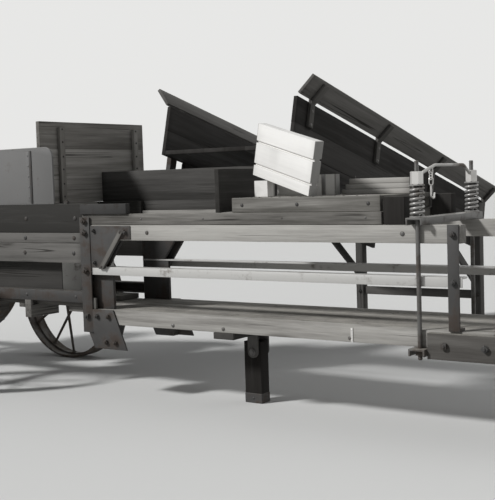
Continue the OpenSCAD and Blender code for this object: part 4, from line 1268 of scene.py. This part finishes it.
# %% Bolts of the housing
irons = empty_work()
low, high = span("housing_sides")
for bottom, top, set_in, _ in SIDE_STEPS:
    row = grid((low.x + 0.060, (low.x + high.x) / 2, high.x - 0.060), [(bottom + top) / 2])
    both_faces(irons, row, RAIL_OUT - set_in, head, radius=0.012, height=0.005)
bolt(irons, (-2.120, -0.236, HOUSING_TOP), UP, across=0.022, sides=4)
finished("housing_bolts", irons, STEEL_DARK, "housing_sides")

nails = empty_work()
low, high = span("end_board")
for y in (-0.085, high.y - 0.090):
    for part in (0.25, 0.72, 1.25, 1.72, 2.25, 2.72):
        z = low.z + (high.z - low.z) * part / 3
        if z < high.z - 0.040:
            head(nails, (high.x, y, z), (1, 0, 0), 0.006, 0.002)
finished("end_board_nails", nails, STEEL_DARK, "end_board")

edges, seams = empty_work(), empty_work()
low, high = span("guard_panels")
for side, stop in ((-1, -2.198), (1, -2.332)):
    y, x, z = side * (RAIL_OUT - 0.026), stop - 0.004, high.z - 0.004
    path = [(low.x, y, z), (x, y, z), (x, y, low.z + 0.002)]
    put(edges, bent_bar(path, 0.0065, bend=0.052, sides=12, steps=10))
    for i in range(5):
        rivet = (stop - 0.186, side * (RAIL_OUT - 0.017), low.z + 0.040 + 0.058 * i)
        head(edges, rivet, (0, side, 0), 0.006, 0.003)
    bar(seams, (stop - 0.176, stop - 0.160), mirrored(side, RAIL_OUT - 0.0205, RAIL_OUT - 0.015),
        (low.z + 0.006, high.z - 0.014), 0.002, segments=2)
finished("guard_edges", edges, SHEET_GREY, "guard_panels")
finished("guard_seams", seams, STEEL_DARK, "guard_panels")

nails = empty_work()
low, high = span("deck")
width = (high.x - low.x + GAP) / DECK_PLANKS
for part in (0.2, 0.8):
    xs = [low.x + width * (i + part) - 0.002 for i in range(DECK_PLANKS)]
    nails_on_top(nails, xs, (-0.222, 0.222), deck_top)
both_faces(nails, grid((-0.930, -0.620, -0.250), [(low.z + deck_top) / 2]), high.y, head, radius=0.009,
           height=0.004)
finished("deck_nails", nails, STEEL_DARK, "deck")

# %% [markdown]
# A short chain hangs behind the near spring, from the bar between the nuts. It keeps the hook that lifts the
# bale out. Its links are rings that are drawn out long, each turned a quarter round from the one above.

# %% Hook and chain
LINK_LENGTH = 0.034
LINK_WIDTH = 0.020


def link(wire_d):
    """One long chain link, along X."""
    work = empty_work()
    stand = Matrix.Translation((LINK_WIDTH / 2, 0, 0)) @ Matrix.Rotation(math.pi / 2, 4, "X")
    bmesh.ops.create_circle(work, segments=8, radius=wire_d / 2, matrix=stand)
    bmesh.ops.spin(work, geom=everything(work), cent=(0, 0, 0), axis=(0, 0, 1), angle=math.tau, steps=18,
                   use_merge=True)
    for v in work.verts:
        v.co.x += math.copysign((LINK_LENGTH - LINK_WIDTH) / 2, v.co.x)
    bmesh.ops.recalc_face_normals(work, faces=work.faces)
    return work


chain = empty_work()
hang = Vector((0, -0.150, TIE_Z - 0.012))
for i in range(3):
    turn = Matrix.Rotation(math.pi / 2, 4, "Y") @ Matrix.Rotation(math.pi / 2 * i + 0.5, 4, "X")
    put(chain, link(0.005), Matrix.Translation(hang + Vector((0, 0, -0.012 - 0.023 * i))) @ turn)
hook = [hang + Vector((0, y, z)) for y, z in ((0, -0.078), (0, -0.123), (0.028, -0.136), (0.034, -0.108))]
put(chain, bent_bar(hook, 0.004, bend=0.010, sides=10))
finished("bale_hook", chain, STEEL_BRIGHT, "tie_bar")
print("chain of 3 links, each", LINK_LENGTH, "m long")

# %% [markdown]
# The drive is cast iron. The gear case is a round pan with a bolted rim, ribs that run out from the bearing
# like spokes, a filler cap above and a drain plug below. Each bearing has a cap on two studs and a grease
# cup that was screwed down a turn before each day's work. The ribs are bars turned about the shaft.

# %% Gear case and bearings
OUT = AXES[1]


def axis_of(node_name, drop):
    """The middle of a bearing, a little below the node's top."""
    low, high = span(node_name)
    return Vector(((low.x + high.x) / 2, 0, high.z - drop))


def ring_of(into, centre, radius, count, start, **sizes):
    """Puts bolts in a circle on a face that looks along +Y."""
    for i in range(count):
        a = math.tau * i / count + start
        bolt(into, centre + Vector((math.cos(a) * radius, 0, math.sin(a) * radius)), OUT, **sizes)


CRANK = axis_of("crank_bearing", 0.065)
DRIVE = axis_of("drive_stands", 0.050)
face, pinion = CRANK + OUT * 0.190, DRIVE + OUT * 0.190
cast = empty_work()
rim = [(0.468, -0.001), (0.470, 0.008), (0.473, 0.010), (0.497, 0.010), (0.500, 0.008), (0.502, -0.001)]
turned(cast, rim, 72, face, OUT, closed=True)
for centre, bore, wide in ((face, 0.0355, 0.100), (pinion, 0.026, 0.070)):
    boss = [(bore, -0.001), (wide, -0.001), (wide - 0.003, 0.005), (wide * 0.74, 0.012), (wide * 0.70, 0.022),
            (wide * 0.66, 0.024), (bore, 0.024)]
    turned(cast, boss, 36, centre, OUT, closed=True)
for i in range(8):
    bar(cast, (0.092, 0.470), (-0.006, 0.006), (-0.001, 0.010), 0.003, segments=2,
        at=facing(face, OUT) @ around(i + 0.5, 8))
ring_of(cast, face + OUT * 0.010, 0.485, 16, 0.2, across=0.020, tip=0.003)
ring_of(cast, pinion, 0.106, 5, 1.2, across=0.016)
up_left = Vector((-0.42, 0, 0.91)).normalized()
cap = [(0, 0.026), (0.018, 0.026), (0.022, 0.022), (0.024, 0.012), (0.028, 0.010), (0.030, -0.004),
       (0, -0.004)]
turned(cast, cap, 24, CRANK + up_left * 0.505 + OUT * 0.145, up_left)
put(cast, nut(0.030, 0.016), facing(CRANK + Vector((0.03, 0.145, -0.5045)), (0, 0, -1)))
finished("case_fittings", cast, IRON_DARK, "gear_case", corner=40)

cup = [(0, 0.040), (0.004, 0.040), (0.006, 0.034), (0.014, 0.032), (0.015, 0.030), (0.015, 0.016),
       (0.013, 0.013), (0.006, 0.010), (0.006, -0.003), (0, -0.003)]
caps = empty_work()
for side, centre, boss in ((1, CRANK, 0.065), (1, DRIVE, 0.050), (-1, DRIVE, 0.050)):
    y = side * (INNER + 0.028)
    for way in (-1, 1):
        x = sorted((centre.x + way * (boss - 0.006), centre.x + way * (boss + 0.024)))
        bar(caps, x, (y - 0.018, y + 0.018), (centre.z - 0.012, centre.z + 0.012), 0.003, segments=2)
        bolt(caps, (centre.x + way * (boss + 0.011), y, centre.z + 0.012), UP, across=0.020)
    turned(caps, cup, 16, (centre.x, y, centre.z + boss - 0.001), UP)
finished("bearing_caps", caps, IRON_DARK, "drive_stands", corner=40)
print("crank axis at", [round(v, 3) for v in CRANK], "drive axis at", [round(v, 3) for v in DRIVE])

# %% [markdown]
# The pitman is an oak beam with iron plates let into its ends, so that the pins don't split it. The crank
# carries its weight opposite the pin, and a large nut keeps it on its shaft. The plunger is faced with
# sheet iron, and its front edge is the knife that shears the hay against the feed opening.

# %% Pitman, crank and plunger irons
low, high = span("pitman")
plates = empty_work()
for end, way in ((high.x - 0.062, -1), (low.x + 0.062, 1)):
    for side in (-1, 1):
        bar(plates, sorted((end + way * 0.058, end + way * 0.300)), mirrored(side, 0.0245, 0.0280),
            (CRANK.z - 0.024, CRANK.z + 0.024), 0.001)
        for step in (0.095, 0.180, 0.265):
            head(plates, (end + way * step, side * 0.028, CRANK.z), (0, side, 0), 0.010, 0.002)
finished("pitman_plates", plates, STEEL_DARK, "pitman")

irons = empty_work()
bolt(irons, (CRANK.x, span("crank")[1].y, CRANK.z), OUT, across=0.056, tip=0.010)
for z in (-0.080, 0.080):
    head(irons, (CRANK.x + 0.220, 0.040, CRANK.z + z), (0, -1, 0), 0.014, 0.003)
finished("crank_nut", irons, IRON_DARK, "crank")

low, high = span("plunger")
foot = low.z + 0.008
irons = empty_work()
bar(irons, (high.x - 0.001, high.x + 0.0015), (low.y + 0.004, high.y - 0.004), (foot + 0.004, high.z - 0.004),
    0.0006)
for y in (-0.185, -0.062, 0.062, 0.185):
    for z in (foot + 0.035, (low.z + high.z) / 2, high.z - 0.035):
        head(irons, (high.x + 0.0015, y, z), (1, 0, 0), 0.008, 0.001)
for side in (-1, 1):
    for z in (foot + 0.050, high.z - 0.050):
        bar(irons, (low.x + 0.010, high.x - 0.010), mirrored(side, high.y - 0.001, high.y + 0.0025),
            (z - 0.020, z + 0.020), 0.001)
finished("plunger_irons", irons, STEEL_WORN, "plunger")

# %% [markdown]
# The table hangs on a shaft with a washer and a split pin at each end. Iron plates bind its foot corners, and
# each batten of the flare boards is bolted through the side. Its legs carry it on bolts and flat braces.

# %% Feed table irons
irons = empty_work()
washer = [(0.0162, 0), (0.028, 0), (0.028, 0.004), (0.0162, 0.004)]
for (side, edge_x), shaft_end in zip(TABLE_SIDES, (shaft_low.x, shaft_high.x)):
    turned(irons, washer, 24, (shaft_end - side * 0.007, HINGE.y, HINGE.z), (side, 0, 0), closed=True)
    split_pin(irons, (shaft_end - side * 0.0015, HINGE.y, HINGE.z), 0.022, 0.0022)
    outside = edge_x + side * 0.003
    for n in (0.030, 0.190):
        bar(irons, sorted((edge_x - side * 0.001, outside)), (TABLE_L - 0.140, TABLE_L),
            (n - 0.018, n + 0.018), 0.001, at=TILT)
        for s in (TABLE_L - 0.115, TABLE_L - 0.060):
            bolt(irons, TILT @ Vector((outside, s, n)), (side, 0, 0), across=0.016, tip=0.003)
    for s in BATTENS:
        for n in (0.115, 0.190):
            head(irons, TILT @ Vector((edge_x + side * 0.020, s + 0.022, n)), (side, 0, 0), 0.009, 0.004)
    for i in range(6):
        head(irons, TILT @ Vector((edge_x, 0.120 + 0.440 * i, -0.033)), (side, 0, 0), 0.006, 0.002)
finished("table_irons", irons, STEEL_ROD, "feed_trough")

irons = empty_work()
for side, edge_x in TABLE_SIDES:
    for z in (LEG_TOP - 0.045, 0.270):
        for way in (-1, 1):
            bolt(irons, (edge_x + side * 0.0303, LEG_Y + way * 0.035, z), (0, way, 0), across=0.022, sides=4)
brace_z = BRACE_FOOT.z + (BRACE_TOP.z - BRACE_FOOT.z) * 0.88
for side, edge_x in TABLE_SIDES:
    bolt(irons, (edge_x + side * 0.0203, LEG_Y - 0.700, brace_z), (side, 0, 0), across=0.020, sides=4)
finished("leg_bolts", irons, STEEL_DARK, "feed_legs")

# %% [markdown]
# Under the machine, rivets join the frame's channels to their cross members, bolts carry the axle plates, and
# pins with washers let the two props fold. A split pin through the collar on each spindle keeps the wheel on.
# The hitch has its own bolted plate.

# %% Undercarriage
low, high = span("main_beams")
AXLE = (span("wheel_near")[0] + span("wheel_near")[1]) / 2
irons = empty_work()
both_faces(irons, grid((AXLE.x - 0.085, AXLE.x + 0.085), (high.z - 0.030, high.z - 0.100)), RAIL_OUT + 0.016,
           bolt, across=0.024)
both_faces(irons, grid((low.x + 0.014, low.x + 0.042, DRIVE.x - 0.039, DRIVE.x - 0.011),
                       (high.z - 0.078, high.z - 0.042)), RAIL_OUT, head, radius=0.008, height=0.004)
both_faces(irons, grid((-2.830, -2.420, -2.040), [high.z - 0.030]), RAIL_OUT, head, radius=0.009,
           height=0.004)
finished("frame_bolts", irons, STEEL_DARK, "main_beams")

low, high = span("drawbar")
irons = empty_work()
for dx, dy, drop in ((0.190, 0.022, 0.015), (0.300, 0.029, 0), (0.350, 0.038, 0)):
    for y in (-dy, dy):
        bolt(irons, (low.x + dx, y, high.z - drop), UP, across=0.018)
finished("hitch_bolts", irons, STEEL_DARK, "drawbar")

stand_low, stand_high = span("stand_bracket")
low, high = span("leg_bracket")
irons = empty_work()
for x, foot, y in (((stand_low.x + stand_high.x) / 2, stand_low.z, 0.047), (-1.040, low.z, 0.054)):
    for side in (-1, 1):
        z = foot + 0.030
        turned(irons, disc(0.018, 0.005, -0.001, 0.002), 20, (x, side * y, z), (0, side, 0))
        split_pin(irons, (x, side * (y + 0.007), z), 0.018, 0.002)
        turned(irons, disc(0.0105, 0.009, 0.004), 16, (x, side * y, z), (0, side, 0))
for y in (-0.240, -0.120, 0.120, 0.240):
    head(irons, (-1.085, y, high.z - 0.032), (0, 0, -1), 0.010, 0.005)
finished("prop_pins", irons, STEEL_ROD, "leg_bracket")

low, high = span("prop_leg")
irons = empty_work()
shoe_y = high.y + 0.002
bar(irons, (low.x - 0.002, high.x + 0.002), (-shoe_y, shoe_y), (0.0, 0.050), 0.002)
both_faces(irons, [((low.x + high.x) / 2, 0.025)], shoe_y, head, radius=0.007, height=0.003)
finished("prop_shoe", irons, STEEL_DARK, "prop_leg")

irons = empty_work()
for side in (-1, 1):
    pin_y = side * (span("stub_axles")[1].y - 0.012)
    split_pin(irons, (AXLE.x, pin_y, AXLE.z), 0.040, 0.0035, bend=0.005, tail=0.006)
finished("spindle_ends", irons, STEEL_ROD, "stub_axles")

low, high = span("bale_table")
irons = empty_work()
both_faces(irons, grid((0.120, 0.300, 0.600, 0.880), [0.410]), high.y, bolt, across=0.024, sides=4)
ys = [low.y + 0.060 + i * (high.y - low.y - 0.120) / 7 for i in range(8)]
nails_on_top(irons, (0.410, 0.880), ys, FLOOR_TOP)
finished("bale_table_bolts", irons, STEEL_DARK, "bale_table")

# %% [markdown]
# At the end the two boxes, construction and dressed model, are printed side by side.

# %% Sizes and finish
new_low, new_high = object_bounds()
for name, cad, new in zip("xyz", zip(cad_low, cad_high), zip(new_low, new_high)):
    print(name, "construction", [round(v, 4) for v in cad], "dressed", [round(v, 4) for v in new])
